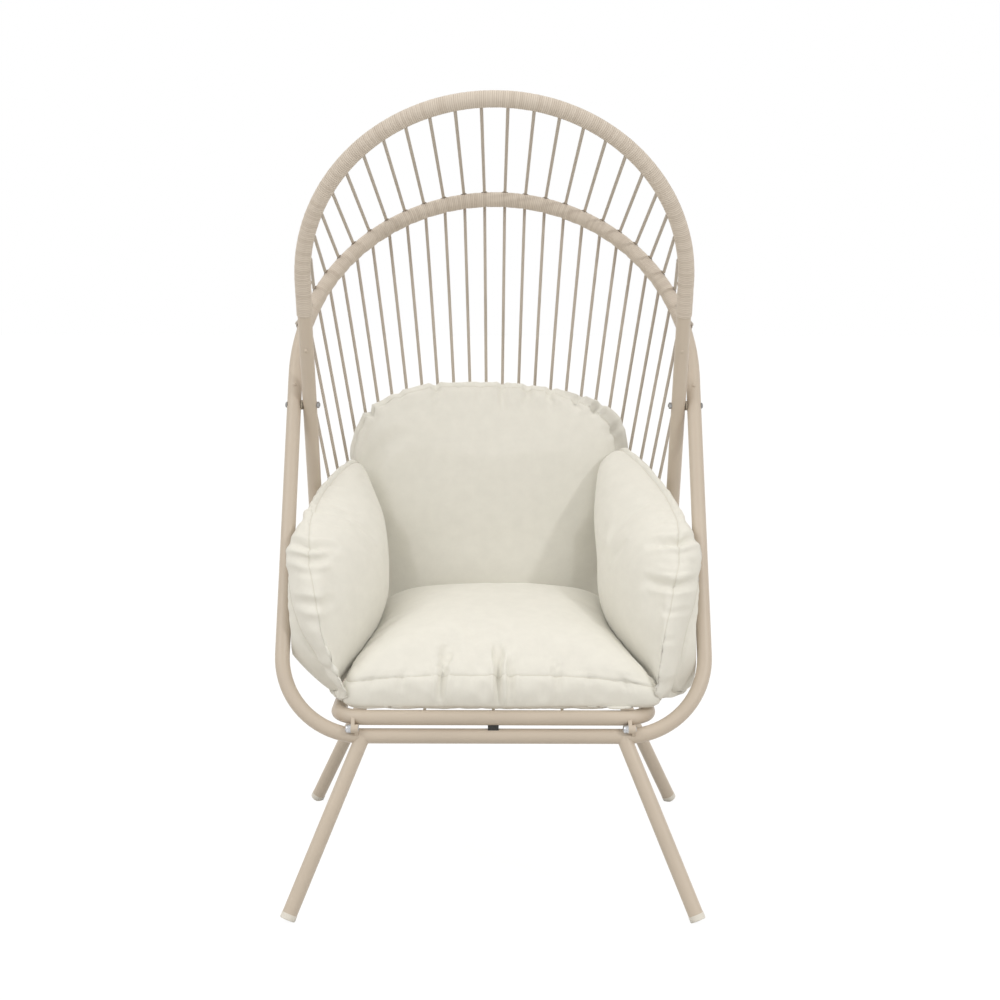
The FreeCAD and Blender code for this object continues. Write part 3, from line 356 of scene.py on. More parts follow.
def plated(name, color, low_rough, high_rough):
    made = Finish(name, color, low_rough, Metallic=1.0)
    made.tint(made.grain(420.0, 3.0), color, 0.72, 1.12)
    made.drive("Roughness", made.spread(made.grain(900.0), low_rough, high_rough))
    made.relief(made.grain(1500.0), 0.00002, 0.4)
    return made


def matt_plastic(name, color, roughness, pit_scale, lightest):
    made = Finish(name, color, roughness)
    pits = made.grain(pit_scale, 3.0)
    made.tint(pits, color, 0.8, lightest)
    made.relief(pits, 0.00005, 0.4)
    return made


zinc = plated("zinc", ZINC, 0.24, 0.42)
dark_zinc = plated("dark_zinc", DARK_ZINC, 0.30, 0.5)
beige_nylon = matt_plastic("beige_nylon", NYLON_BEIGE, 0.5, 900.0, 1.1)
black_rubber = matt_plastic("black_rubber", BLACK, 0.7, 500.0, 1.5)

cap = Finish("cap_plastic", CAP_WHITE, 0.5)
low_down = cap.rescale(cap.height(cap.place), 0.0, SCUFF_HEIGHT, 1.0, 0.0)
scuff = cap.math("MULTIPLY", low_down, cap.grain(350.0, 4.0))
cap.drive("Base Color", cap.tone(scuff, CAP_WHITE, shade(CAP_WHITE, 0.6), 0.1, 0.8))
cap.relief(cap.grain(900.0), 0.00004, 0.4)

screw = Finish("screw_zinc", ZINC, 0.35, Metallic=1.0)
bare = screw.math("GREATER_THAN", screw.height(screw.place), PAINTED_BELOW)
screw.drive("Metallic", bare)
screw.drive("Base Color", screw.tone(bare, POWDER_BEIGE, ZINC, 0.4, 0.6))
screw.relief(screw.grain(1500.0), 0.00002, 0.4)
print("small finishes ready")

# %% Give every solid its finish
SLOT_FINISH = {
    "frame_paint": coat,
    "zinc": zinc,
    "zinc_dark": dark_zinc,
    "cap_plastic": cap,
    "spacer_plastic": beige_nylon,
    "buffer_rubber": black_rubber,
}
node_slots = {row["node"]: row["material_slot"] for row in frame["record"]["subparts"]}
for name, solid in frame["nodes"].items():
    if node_slots[name] in SLOT_FINISH:
        solid.data.materials.clear()
        solid.data.materials.append(SLOT_FINISH[node_slots[name]].material)
frame["nodes"]["joint_screws"].data.materials[0] = screw.material
print(len(frame["nodes"]), "solids")


# %% [markdown]
# ## Swept cord
# Winding and rope are the same thing: a line with a section that changes a little along it,
# built from rings of points that are joined with quads. A tone is kept for every point, so
# that painted shade can make the groove between two strands darker than its crest without any
# picture.


# %% Helpers for swept cord
def add_mesh(name, points, faces, finish):
    mesh = bpy.data.meshes.new(name)
    mesh.from_pydata([tuple(p) for p in points], [], [tuple(f) for f in faces])
    mesh.materials.append(finish.material)
    mesh.polygons.foreach_set("use_smooth", [True] * len(mesh.polygons))
    made = bpy.data.objects.new(name, mesh)
    scene.collection.objects.link(made)
    return made


def ring_faces(first, rings, around):
    """Quads between neighbouring rings, and one closing face at each end."""
    index = first + np.arange(rings * around).reshape(rings, around)
    a, b = index[:-1], index[1:]
    quads = np.stack([a, np.roll(a, -1, 1), np.roll(b, -1, 1), b], -1).reshape(-1, 4)
    return quads.tolist() + [index[0][::-1].tolist(), index[-1].tolist()]


def ring_of_points(centre, angles, radius, across, other):
    """Points round a centre, in the plane of two directions."""
    return (np.outer(np.cos(angles) * radius, across) + np.outer(np.sin(angles) * radius, other)
            + np.array(centre))


# Keeps a tone for every point. The cord finishes use it as painted shade in the grooves, and on the windings
# it also carries a random tone for each turn.
def keep_tone_and_shade(made, values):
    attribute = made.data.attributes.new("strand", "FLOAT", "POINT")
    attribute.data.foreach_set("value", np.asarray(values, np.float32))


# %% [markdown]
# ## Cord finishes
# Both cords are polyester: a fine matt cord on the tubes and a twisted, greyer one strung
# between them. The strand tone kept in the mesh paints shade into the grooves, and noise at a
# fraction of a millimetre stands for the single fibres.


# %% Cord finishes
# Painted shade: the kept strand tone runs the colour from the crest colour down to the darker groove colour.
def cord_finish(name, crest, shaded_groove, fibre_scale):
    made = Finish(name, crest, 0.8, Sheen_Weight=0.15, Sheen_Roughness=0.5)
    fibres = made.grain(fibre_scale, 3.0)
    lifted = made.math("MULTIPLY_ADD", fibres, 0.35, made.kept("strand"))
    made.drive("Base Color", made.tone(lifted, shaded_groove, crest, 0.15, 0.95))
    made.relief(fibres, 0.0001, 0.5)
    return made


winding_cord = cord_finish("winding_cord", (0.73, 0.655, 0.575), (0.43, 0.355, 0.285), 1800.0)
strung_cord = cord_finish("strung_cord", (0.62, 0.56, 0.49), (0.31, 0.265, 0.22), 1400.0)
print("cord finishes ready")

# %% [markdown]
# ## Windings
# Thin cord is wound turn against turn round the hood arch, the rear arch and the rear bar. A
# separate curl for every turn would be far too heavy, and a bump would leave the outline
# smooth, so one surface follows the tube and its radius rises and falls with the helix: one
# crest per turn, which also roughens the silhouette as on the real chair. The kept tone paints
# shade into the groove between turns and where the winding tucks into the tube, on top of a
# random tone for every turn.

# %% Wind the tubes
CORD_TURN = 0.0034
RINGS_PER_TURN = 6
WINDING_SIDES = 20
RIDGE = 0.0007
PRESSED = 0.0009
PRESSED_REACH = 0.005
END_TUCK = 0.003
SUNK_R = TUBE_R - 0.0004
TURN_PLAY = 0.0001
DARKEST_TURN = 0.62


def wind(name, centre_at, normal, start, end, replaced, gaps=(), pressed=()):
    """A winding on a flat path: centre_at(run) gives place and direction, normal its plane."""
    runs = np.arange(start, end, CORD_TURN / RINGS_PER_TURN)
    angles = np.arange(WINDING_SIDES) * 2 * math.pi / WINDING_SIDES
    wobble = np.random.default_rng(len(name))
    turns = len(runs) // RINGS_PER_TURN + 1
    loose = np.repeat(wobble.normal(0, TURN_PLAY, turns), RINGS_PER_TURN)
    shade_of = np.repeat(wobble.uniform(DARKEST_TURN, 1.0, turns), RINGS_PER_TURN)
    points = []
    tones = []
    for number, run in enumerate(runs):
        here, along = centre_at(run)
        across = along.cross(normal).normalized()
        wave = np.abs(np.cos(math.pi * (run / CORD_TURN) - angles / 2))
        wave = np.sqrt(np.clip(wave, 0, 1))
        radius = WRAP_R - RIDGE * (1 - wave) + loose[number]
        radius -= PRESSED * sum(math.exp(-((run - there) / PRESSED_REACH) ** 2) for there in pressed)
        tuck = max(0.0, min(1.0, (run - start) / END_TUCK, (end - run) / END_TUCK))
        if any(low < run < high for low, high in gaps):
            tuck = 0.0
        radius = SUNK_R + (radius - SUNK_R) * tuck
        points.extend(ring_of_points(here, angles, radius, across, normal))
        # Painted shade: darker in the groove between turns and where the winding tucks in; shade_of gives
        # each turn its own random tone.
        tones.extend(wave * tuck * shade_of[number])
    faces = ring_faces(0, len(runs), WINDING_SIDES)
    made = add_mesh(name, points, faces, winding_cord)
    keep_tone_and_shade(made, tones)
    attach(made, "frame")
    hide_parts(replaced)
    print(name, round(end - start, 3), "m of tube,", int((end - start) / CORD_TURN), "turns")


CORD_COUNT = 26
CORD_STEPS = [number - (CORD_COUNT - 1) / 2 for number in range(CORD_COUNT)]
REAR_PITCH = 0.037
REAR_WOUND = 0.470
BAR_WOUND = 0.262
BARE_ABOVE_CROSSING = 0.178
HOOD_WOUND = (inner.half * math.pi / 2 + (inner.rise - inner.half)
              - (CROSS_RISE + BARE_ABOVE_CROSSING))
wind("hood_arch_winding", inner.arch, inner.front, -HOOD_WOUND, HOOD_WOUND, "hood_arch_wrap")
wind("rear_arch_winding", outer.arch, outer.front, -REAR_WOUND, REAR_WOUND, "rear_arch_wrap",
     pressed=[REAR_PITCH * step for step in CORD_STEPS])

# %% [markdown]
# The rear bar's winding stops short of each leg socket and each pair of lugs, where the welds
# are in the way. Those places are read from the sockets' and lugs' boxes.

# %% Wind the rear bar
CLEAR = 0.001
bar_gaps = []
for side in ("left", "right"):
    for kinds in (("leg_socket",), ("bar_lug", "ring_lug")):
        boxes = [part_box(f"{kind}_rear_{side}") for kind in kinds]
        bar_gaps.append((min(low.x for low, high in boxes) - CLEAR,
                         max(high.x for low, high in boxes) + CLEAR))
wind("rear_bar_winding", inner.bar, inner.front, -BAR_WOUND, BAR_WOUND, "rear_bar_wrap", bar_gaps)

# %% [markdown]
# ## Strung cords
# Twenty-six cords make the shell. Each comes out from under the hood arch's winding, runs
# tight to the top of the rear arch, is hitched a little sideways behind it, and goes on
# straight down behind the rear bar, where it turns under and ends in that bar's winding. A
# taut cord is straight between its tubes, so only the parts on the tubes need close points.
# Three strands twisted together give the rope its section, with painted shade in the grooves
# between them and on the stretch that lies round the rear arch. A short thread in the darkest
# cord colour lies along the rear arch where each cord crosses it: painted shade that stands for
# the shadow gap beside the hitch.

# %% String the cords
HOOD_PITCH = 0.045
BAR_PITCH = 0.020
ROPE_R = 0.0030
ROPE_LAY = 0.016
ROPE_STEP = 0.0025
ROPE_SIDES = 10
STRAND_DEPTH = 0.18
CORD_BEARS = WRAP_R + CORD_R * 0.7
SUNK_END = 0.0005
HITCH = 0.004
SHADED_AT_ARCH = 0.3
SHADOW_THREAD_HALF = 0.006
SHADOW_THREAD_R = 0.0009
SHADOW_THREAD_LIFT = 1.6


def bearing(along, run, hint):
    """Offset from a tube's middle line to a cord that lies against the tube."""
    normal = along.cross(run).normalized()
    return normal * (CORD_BEARS if normal.dot(hint) > 0 else -CORD_BEARS)


def straight(first, last):
    count = max(2, int((last - first).length / ROPE_STEP))
    return [first.lerp(last, k / count) for k in range(count + 1)]


def round_tube(place, along, first, last, side_shift, radius, steps=9):
    """Points on a tube from one offset direction to another, shifted sideways on the way."""
    a, b = first.normalized(), last.normalized()
    turn = a.angle(b)
    points = []
    for k in range(1, steps):
        t = k / steps
        mixed = (a * math.sin((1 - t) * turn) + b * math.sin(t * turn)) / max(math.sin(turn), 1e-6)
        points.append(place + mixed.normalized() * radius + along * side_shift * math.sin(math.pi * t))
    return points


def cord_route(step):
    hood, hood_along = inner.arch(step * HOOD_PITCH)
    rear, rear_along = outer.arch(step * REAR_PITCH)
    low, low_along = inner.bar(step * BAR_PITCH)
    hood_centre = inner.point(0, inner.rise - inner.half)
    rear_centre = outer.point(0, outer.rise - outer.half)
    inward = (hood_centre - hood).normalized()
    backward = Vector((0, 1, 0))
    start = hood + inward * (TUBE_R + SUNK_END)
    on_top = rear + bearing(rear_along, rear - start, rear - rear_centre)
    behind = rear + bearing(rear_along, low - rear, backward)
    at_bar = low + bearing(low_along, low - rear, backward)
    side = rear_along * (-1 if step > 0 else 1)
    route = straight(start, on_top)
    first_contact = len(route)
    route += round_tube(rear, side, on_top - rear, behind - rear, HITCH, CORD_BEARS)
    contact = (first_contact, len(route))
    route += straight(behind, at_bar)
    under = low_along * low_along.z - Vector((0, 0, 1))
    route += round_tube(low, low_along, at_bar - low, under, 0.0, CORD_BEARS - SUNK_END)
    on_winding = (on_top - rear).normalized() * (WRAP_R - 0.0002)
    # Painted shade: a short thread along the arch's top, in the darkest cord colour, stands for the shadow
    # gap beside the hitch.
    shadow_thread = []
    for share_along in np.linspace(-1, 1, 9):
        lift = SHADOW_THREAD_R * (1 - share_along ** 2) * SHADOW_THREAD_LIFT
        shadow_thread.append(rear + on_winding * (1 + lift / WRAP_R) + rear_along * (share_along * SHADOW_THREAD_HALF))
    return route, contact, shadow_thread


def twisted(route, brightness, thickness):
    """Rings of a three-strand rope on a route, by carrying one direction along it."""
    line = np.array([tuple(p) for p in route])
    tangent = np.gradient(line, axis=0)
    tangent /= np.linalg.norm(tangent, axis=1)[:, None]
    run = np.concatenate([[0], np.cumsum(np.linalg.norm(np.diff(line, axis=0), axis=1))])
    angles = np.arange(ROPE_SIDES) * 2 * math.pi / ROPE_SIDES
    side = np.cross(tangent[0], (1, 0, 0))
    points = []
    tones = []
    for k in range(len(line)):
        side = side - tangent[k] * side.dot(tangent[k])
        side /= np.linalg.norm(side)
        other = np.cross(tangent[k], side)
        strand = np.abs(np.cos(1.5 * (angles - 2 * math.pi * run[k] / ROPE_LAY)))
        radius = thickness * (1 - STRAND_DEPTH + STRAND_DEPTH * np.sqrt(strand))
        points.extend(ring_of_points(line[k], angles, radius, side, other))
        # Painted shade: the grooves between the strands get a darker tone.
        tones.extend(strand * brightness[k])
    return points, tones


rope_points = []
rope_faces = []
rope_tones = []
rope_length = 0.0
for step in CORD_STEPS:
    route, contact, shadow_thread = cord_route(step)
    bright = np.ones(len(route))
    # Painted shade: the cord is darkened where it lies round the rear arch.
    bright[contact[0] - 1:contact[1] + 1] = SHADED_AT_ARCH
    # The thread's tone is zero all along, so it takes the darkest groove colour as painted shade.
    for line, brightness, thickness in ((route, bright, ROPE_R), (shadow_thread, np.zeros(len(shadow_thread)), SHADOW_THREAD_R)):
        points, tones = twisted(line, brightness, thickness)
        rope_faces += ring_faces(len(rope_points), len(line), ROPE_SIDES)
        rope_points += points
        rope_tones += tones
    rope_length += sum((b - a).length for a, b in zip(route, route[1:]))
strung = add_mesh("strung_cords", rope_points, rope_faces, strung_cord)
keep_tone_and_shade(strung, rope_tones)
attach(strung, "frame")
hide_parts("hood_cords", "back_cords")
print("cord in all", round(rope_length, 1), "m,", len(rope_points), "points")

# %% [markdown]
# ## Cushion cloth
# The cushion is sewn from one cream cloth, a plain weave with threads about 1.2 mm apart. Each
# panel carries its own flat coordinates in metres, so the weave runs straight on every panel
# as the cloth was cut. Two crossed waves make the threads, noise breaks them up, and a soft
# sheen stands for the fine nap. Every point knows how far it is from a seam, and from that each
# seam gets a shallow groove with a thin line of painted shade in it.

# %% Cushion cloth
CREAM = (0.832, 0.82, 0.764)
THREAD = 0.0012
SEAM_SHADE = (0.50, 0.44, 0.33, 1)
SEAM_SHADE_WIDTH = 0.0016
SEAM_SHADE_SHARE = 0.30
SEAM_GROOVE = 0.0035

cloth = Finish("cream_cloth", CREAM, 0.85, Sheen_Weight=0.25, Sheen_Roughness=0.45)
flat_place = cloth.add("UVMap", {})
flat_place.uv_map = "cut"
threads = []
for direction in ("X", "Y"):
    wave = cloth.add("TexWave", {"Vector": flat_place.outputs["UV"], "Scale": 0.314 / THREAD,
                                 "Distortion": 0.6, "Detail": 1.0})
    wave.bands_direction = direction
    threads.append(wave.outputs["Fac"])
slub = cloth.grain(45.0, 4.0, 0.6)
from_seam = cloth.kept("from_seam")
# Painted shade: a thin darker line along every seam, where the crease would lie in shadow.
seam_shade = cloth.add("Mix", {})
seam_shade.data_type = "RGBA"
seam_shade.inputs[7].default_value = SEAM_SHADE
cloth.links.new(cloth.rescale(from_seam, 0.0, SEAM_SHADE_WIDTH, SEAM_SHADE_SHARE, 0.0), seam_shade.inputs[0])
cloth.links.new(cloth.tone(slub, shade(CREAM, 0.975), shade(CREAM, 1.02)), seam_shade.inputs[6])
cloth.drive("Base Color", seam_shade.outputs[2])
woven = cloth.relief(cloth.math("MULTIPLY", *threads), 0.00012, 0.35)
woven = cloth.relief(cloth.grain(160.0, 3.0), 0.0004, 0.2, woven)
cloth.relief(cloth.rescale(from_seam, 0.0, SEAM_GROOVE, 0.0, 1.0), 0.0012, 0.8, woven)
print("cream cloth", CREAM)

# %% [markdown]
# ## How a pad is cut
# A boxed pad is two panels with a band sewn between them. The builder below starts from the
# panel's outline: a square net of cells is pressed into it, once for the front panel and once
# for the rear one, and rows of cells join the two edges as the band. The walk round the rim and
# the lines that run from it into the panel are kept, because every pucker follows one of them.


# %% Helpers that cut a pad
def smooth_line(points, closed=True, fine=16):
    """A smooth line through a few points of any dimension."""
    line = np.array(points, float)
    count = len(line)
    made = []
    for k in range(count if closed else count - 1):
        p0, p1, p2, p3 = (line[(k + j) % count if closed else min(max(k + j, 0), count - 1)]
                          for j in (-1, 0, 1, 2))
        for t in np.linspace(0, 1, fine, endpoint=False):
            made.append(0.5 * (2 * p1 + (p2 - p0) * t + (2 * p0 - 5 * p1 + 4 * p2 - p3) * t * t
                               + (3 * p1 - p0 - 3 * p2 + p3) * t ** 3))
    return np.array(made if closed else made + [line[-1]])


def press_net(outline, cells):
    """A square net pressed into an outline: the points, and how far out each one lies, 0 to 1."""
    middle = (outline.max(0) + outline.min(0)) / 2
    spokes = outline - middle
    angles = np.arctan2(spokes[:, 1], spokes[:, 0])
    order = np.argsort(angles)
    angles, reach = angles[order], np.linalg.norm(spokes[order], axis=1)
    angles = np.concatenate([angles - 2 * math.pi, angles, angles + 2 * math.pi])
    reach = np.tile(reach, 3)
    line = np.linspace(-1, 1, cells + 1)
    a, b = np.meshgrid(line, line, indexing="ij")
    x = a * np.sqrt(1 - b * b / 2)
    y = b * np.sqrt(1 - a * a / 2)
    out = np.hypot(x, y)
    angle = np.arctan2(y, x)
    length = out * np.interp(angle, angles, reach)
    return middle + np.stack([length * np.cos(angle), length * np.sin(angle)], -1), out


def rim_walk(cells):
    """The points on the net's edge, once round."""
    walk = [(i, 0) for i in range(cells)] + [(cells, j) for j in range(cells)]
    walk += [(i, cells) for i in range(cells, 0, -1)] + [(0, j) for j in range(cells, 0, -1)]
    return walk


class Pad:
    """Two panels and a band. front and rear give a place from the outline's p, q and out."""

    def __init__(self, name, outline, front, rear, cells, band_rows, band_out, flipped=False):
        net, out = press_net(smooth_line(outline), cells)
        walk = rim_walk(cells)
        points, cut, faces = [], [], []
        number = {}
        for layer, place in (("front", front), ("rear", rear)):
            for i in range(cells + 1):
                for j in range(cells + 1):
                    number[layer, i, j] = len(points)
                    points.append(np.array(place(*net[i, j], float(out[i, j]))))
                    cut.append(net[i, j])
            for i in range(cells):
                for j in range(cells):
                    quad = [number[layer, i, j], number[layer, i + 1, j],
                            number[layer, i + 1, j + 1], number[layer, i, j + 1]]
                    faces.append(quad if layer == "front" else quad[::-1])
        centre = np.mean([points[number["front", i, j]] for i, j in walk], axis=0)
        self.columns = []
        for i, j in walk:
            first, last = number["front", i, j], number["rear", i, j]
            axis = points[last] - points[first]
            outward = (points[first] + points[last]) / 2 - centre
            outward -= axis * outward.dot(axis) / axis.dot(axis)
            outward /= np.linalg.norm(outward)
            column = [first]
            for k in range(1, band_rows):
                t = k / band_rows
                column.append(len(points))
                points.append(points[first] + axis * t + outward * band_out * 4 * t * (1 - t))
                cut.append((0, 0))
            self.columns.append(column + [last])
        band_start = len(faces)
        run = [0.0]
        for column, following in zip(self.columns, self.columns[1:] + self.columns[:1]):
            run.append(run[-1] + float(np.linalg.norm(points[following[0]] - points[column[0]])))
            for k in range(band_rows):
                faces.append([column[k], column[k + 1], following[k + 1], following[k]])
        if flipped:
            faces = [face[::-1] for face in faces]
        self.object = add_mesh(name, points, faces, cloth)
        self.band_rows = band_rows
        self.number = number
        self.walk = walk
        self.cells = cells
        self.lay_cloth(cut, run, band_start, flipped, points)
        self.crease_seams()

    def lay_cloth(self, cut, run, band_start, flipped, points):
        """Flat coordinates in metres on every panel, so that the weave runs straight."""
        layer = self.object.data.uv_layers.new(name="cut").data
        for loop in self.object.data.loops:
            layer[loop.index].uv = cut[loop.vertex_index]
        column = self.columns[0]
        width = float(np.linalg.norm(points[column[-1]] - points[column[0]]))
        for face in self.object.data.polygons[band_start:]:
            index, k = divmod(face.index - band_start, self.band_rows)
            corners = [(run[index], k), (run[index], k + 1), (run[index + 1], k + 1), (run[index + 1], k)]
            for loop, (along, row) in zip(face.loop_indices, corners[::-1] if flipped else corners):
                layer[loop].uv = (along, row / self.band_rows * width)

    def crease_seams(self):
        """Keeps the two seams crisp through the subdivision, and notes them for the filling."""
        mesh = self.object.data
        seams = set()
        for first, second in zip(self.columns, self.columns[1:] + self.columns[:1]):
            seams |= {frozenset((first[0], second[0])), frozenset((first[-1], second[-1]))}
        crease = mesh.attributes.new("crease_edge", "FLOAT", "EDGE")
        for edge in mesh.edges:
            if frozenset(edge.vertices) in seams:
                crease.data[edge.index].value = 0.7
        held = self.object.vertex_groups.new(name="seam")
        held.add([column[end] for column in self.columns for end in (0, -1)], 1.0, "REPLACE")

    def read(self, source, name):
        flat = np.empty(len(source) * 3, np.float32)
        source.foreach_get(name, flat)
        return flat.reshape(-1, 3).astype(float)

    def places(self):
        return self.read(self.object.data.vertices, "co")

    def normals(self):
        return self.read(self.object.data.vertex_normals, "vector")

    def move_to(self, places):
        self.object.data.vertices.foreach_set("co", places.astype(np.float32).ravel())
        self.object.data.update()

    def spoke(self, index, steps):
        """Net points from a rim point into the front panel."""
        i, j = self.walk[index]
        last = self.cells
        line = []
        for step in range(steps + 1):
            toward = step / (last / 2)
            line.append(self.number["front", round(i + (last / 2 - i) * toward),
                                    round(j + (last / 2 - j) * toward)])
        return list(dict.fromkeys(line))

    def rim_near(self, place):
        points = self.places()
        rim = points[[column[0] for column in self.columns]]
        return int(np.argmin(np.linalg.norm(rim - np.array(place), axis=1)))


# %% [markdown]
# ## How a pad is filled
# Stuffing blows a cover up until the cloth is tight, so the form between the seams comes from
# the cloth solver: the seams are held, pressure pushes from inside, and gravity is off. The
# cloth is let out by a percent, as covers are cut. A cap keeps every point near its start.

# %% Helper that fills a pad
FILL_FRAMES = 18
PRESSURE = 2.6
LET_OUT = 0.012


def fill(pad, cap):
    """Blows the pad up with its seams held, and keeps every point within the cap of its start."""
    begun = pad.places()
    modifier = pad.object.modifiers.new("filling", "CLOTH")
    settings = modifier.settings
    settings.quality = 5
    settings.mass = 0.25
    settings.tension_stiffness = 14.0
    settings.compression_stiffness = 14.0
    settings.shear_stiffness = 6.0
    settings.bending_stiffness = 1.5
    settings.air_damping = 4.0
    settings.use_pressure = True
    settings.uniform_pressure_force = PRESSURE
    settings.vertex_group_mass = "seam"
    settings.shrink_min = -LET_OUT
    settings.effector_weights.gravity = 0.0
    modifier.collision_settings.use_collision = False
    modifier.point_cache.frame_start = 1
    modifier.point_cache.frame_end = FILL_FRAMES
    for frame_number in range(1, FILL_FRAMES + 1):
        scene.frame_set(frame_number)
    shaped = pad.object.evaluated_get(bpy.context.evaluated_depsgraph_get())
    filled = np.array([v.co for v in shaped.data.vertices])
    pad.object.modifiers.remove(modifier)
    scene.frame_set(1)
    moved = filled - begun
    size = np.linalg.norm(moved, axis=1)
    moved *= np.minimum(1.0, cap / np.maximum(size, 1e-9))[:, None]
    pad.move_to(begun + moved)
    print(pad.object.name, "swelled", round(float(size.mean()) * 1000, 1), "mm on average,",
          round(float(size.max()) * 1000, 1), "at most")


# %% [markdown]
# ## Seams, puckers and folds
# The photograph shows smooth tight cloth with a few deep folds where the thread gathers it.
# They are too few and too exactly placed to leave to chance, so they are pressed in after the
# filling, on a mesh twice as fine. A fold is a line on the cloth that sinks, with a low swell
# on either side, and fades along its length. A seam is the same thing round the whole rim.


# %% Helpers for seams and folds
def make_fine(pad):
    """One subdivision, applied, so that folds of a centimetre have points to move."""
    modifier = pad.object.modifiers.new("fine", "SUBSURF")
    modifier.levels = 1
    evaluated = pad.object.evaluated_get(bpy.context.evaluated_depsgraph_get())
    finer = bpy.data.meshes.new_from_object(evaluated)
    pad.object.modifiers.remove(modifier)
    pad.object.data = finer
    finer.polygons.foreach_set("use_smooth", [True] * len(finer.polygons))
    if "crease_edge" in finer.attributes:
        finer.attributes.remove(finer.attributes["crease_edge"])


BESIDE_FOLD = 0.4


def fold(pad, line, width, depth, deepest):
    """Sinks the cloth along a line of places: all of the depth at one share of it, none at its ends."""
    line = smooth_line(line, closed=False, fine=6)
    places, normals = pad.places(), pad.normals()
    near = np.abs(places - line.mean(0)).max(1) < np.abs(line - line.mean(0)).max() + 4 * width
    chosen = np.nonzero(near)[0]
    gaps = np.linalg.norm(places[chosen, None] - line[None], axis=2)
    nearest = gaps.argmin(1)
    gap = gaps[np.arange(len(chosen)), nearest] / width
    share = nearest / (len(line) - 1)
    left = np.where(share < deepest, share / max(deepest, 1e-6), (1 - share) / max(1 - deepest, 1e-6)) ** 0.8
    push = -np.exp(-gap ** 2) + BESIDE_FOLD * np.exp(-((gap - 1.8) / 0.8) ** 2)
    places[chosen] += normals[chosen] * (push * depth * left)[:, None]
    pad.move_to(places)


def seam_distance(pad, places, end, fine):
    """Every point's distance from one of the two seams, in blocks to save memory."""
    rim = smooth_line(places[[column[end] for column in pad.columns]], fine=fine)
    gap = np.empty(len(places))
    for low in range(0, len(places), 4000):
        block = places[low:low + 4000]
        gap[low:low + 4000] = np.sqrt(((block[:, None] - rim[None]) ** 2).sum(2)).min(1)
    return gap


def sink_seams(pad, width=0.0045, depth=0.0022):
    places, normals = pad.places(), pad.normals()
    for end in (0, -1):
        gap = seam_distance(pad, places, end, 4)
        places += normals * (-depth * np.exp(-(gap / width) ** 2))[:, None]
    pad.move_to(places)


def mark_seams(pad, on_seam=0.0006, farthest=0.02):
    """Keeps every point's distance from the nearest seam, for the groove and the line of painted shade that
    the finish draws.
    """
    places = pad.places()
    gap = np.minimum(*(seam_distance(pad, places, end, 6) for end in (0, -1)))
    gap[gap < on_seam] = 0.0
    attribute = pad.object.data.attributes.new("from_seam", "FLOAT", "POINT")
    attribute.data.foreach_set("value", np.minimum(gap, farthest).astype(np.float32))


def pucker(pad, index, inward, width, depth, across=1.0):
    """A gather at one rim point: from inside the panel over the seam and across the band."""
    places = pad.places()
    column = pad.columns[index]
    kept = column[1:max(2, round(len(column) * across))]
    line = pad.spoke(index, inward)[::-1]
    deepest = (len(line) - 0.5) / (len(line) + len(kept) - 1)
    fold(pad, places[line + kept], width, depth, deepest)


def gather(pad, seed, spacing, depth, keep):
    """Small puckers along the kept stretch of the front seam, at uneven distances."""
    chance = random.Random(seed)
    index = chance.uniform(0, spacing)
    count = 0
    while index < len(pad.columns):
        place = pad.places()[pad.columns[int(index)][0]]
        if keep(place):
            pucker(pad, int(index), chance.randint(2, 4), chance.uniform(0.005, 0.009),
                   depth * chance.uniform(0.5, 1.2), chance.uniform(0.5, 1.0))
            count += 1
        index += spacing * chance.uniform(0.55, 1.45)
    print(pad.object.name, "has", count, "small gathers")


def soften(pad, depth, scale):
    """Broad unevenness of the stuffing."""
    places, normals = pad.places(), pad.normals()
    swell = np.array([noise.noise(Vector(p) * scale) for p in places])
    pad.move_to(places + normals * (swell * depth)[:, None])


def keep_behind(pad, other, direction, gap=0.0012):
    """Presses the pad flat where it would enter another one, seen along a direction."""
    tree = BVHTree.FromPolygons([tuple(p) for p in other.places()],
                                [tuple(f.vertices) for f in other.object.data.polygons])
    axis = int(np.argmax(np.abs(direction)))
    sign = 1 if direction[axis] > 0 else -1
    places = pad.places()
    count = 0
    for place in places:
        start = Vector(place)
        start[axis] = -sign * 1.0
        hit = tree.ray_cast(start, Vector(direction))[0]
        if hit is not None and sign * place[axis] > sign * hit[axis] - gap:
            place[axis] = hit[axis] - sign * gap
            count += 1
    pad.move_to(places)
    print(pad.object.name, "rests on", other.object.name, "with", count, "points")


def stuff(pad, cap, uneven, scale):
    """Fills a cover and gives it a finer mesh, its stuffing's unevenness and its seams."""
    fill(pad, cap)
    make_fine(pad)
    soften(pad, uneven, scale)
    sink_seams(pad)


def sew_in(pad, replaced):
    mark_seams(pad)
    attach(pad.object, "cushion")
    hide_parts(replaced)


def ramp(value, start, length, most=1.0):
    """0 up to the start, then rising to 1 over the length, or on to the most."""
    return min(max((value - start) / length, 0), most)


# %% [markdown]
# ## The back pad
# The back stands against the cords and follows their bow. Its top is a flat arch and its
# shoulders are its widest part, a little to the left of the middle. At the right shoulder the
# gathered band is turned to the front. The rear panel is kept just in front of the cords.

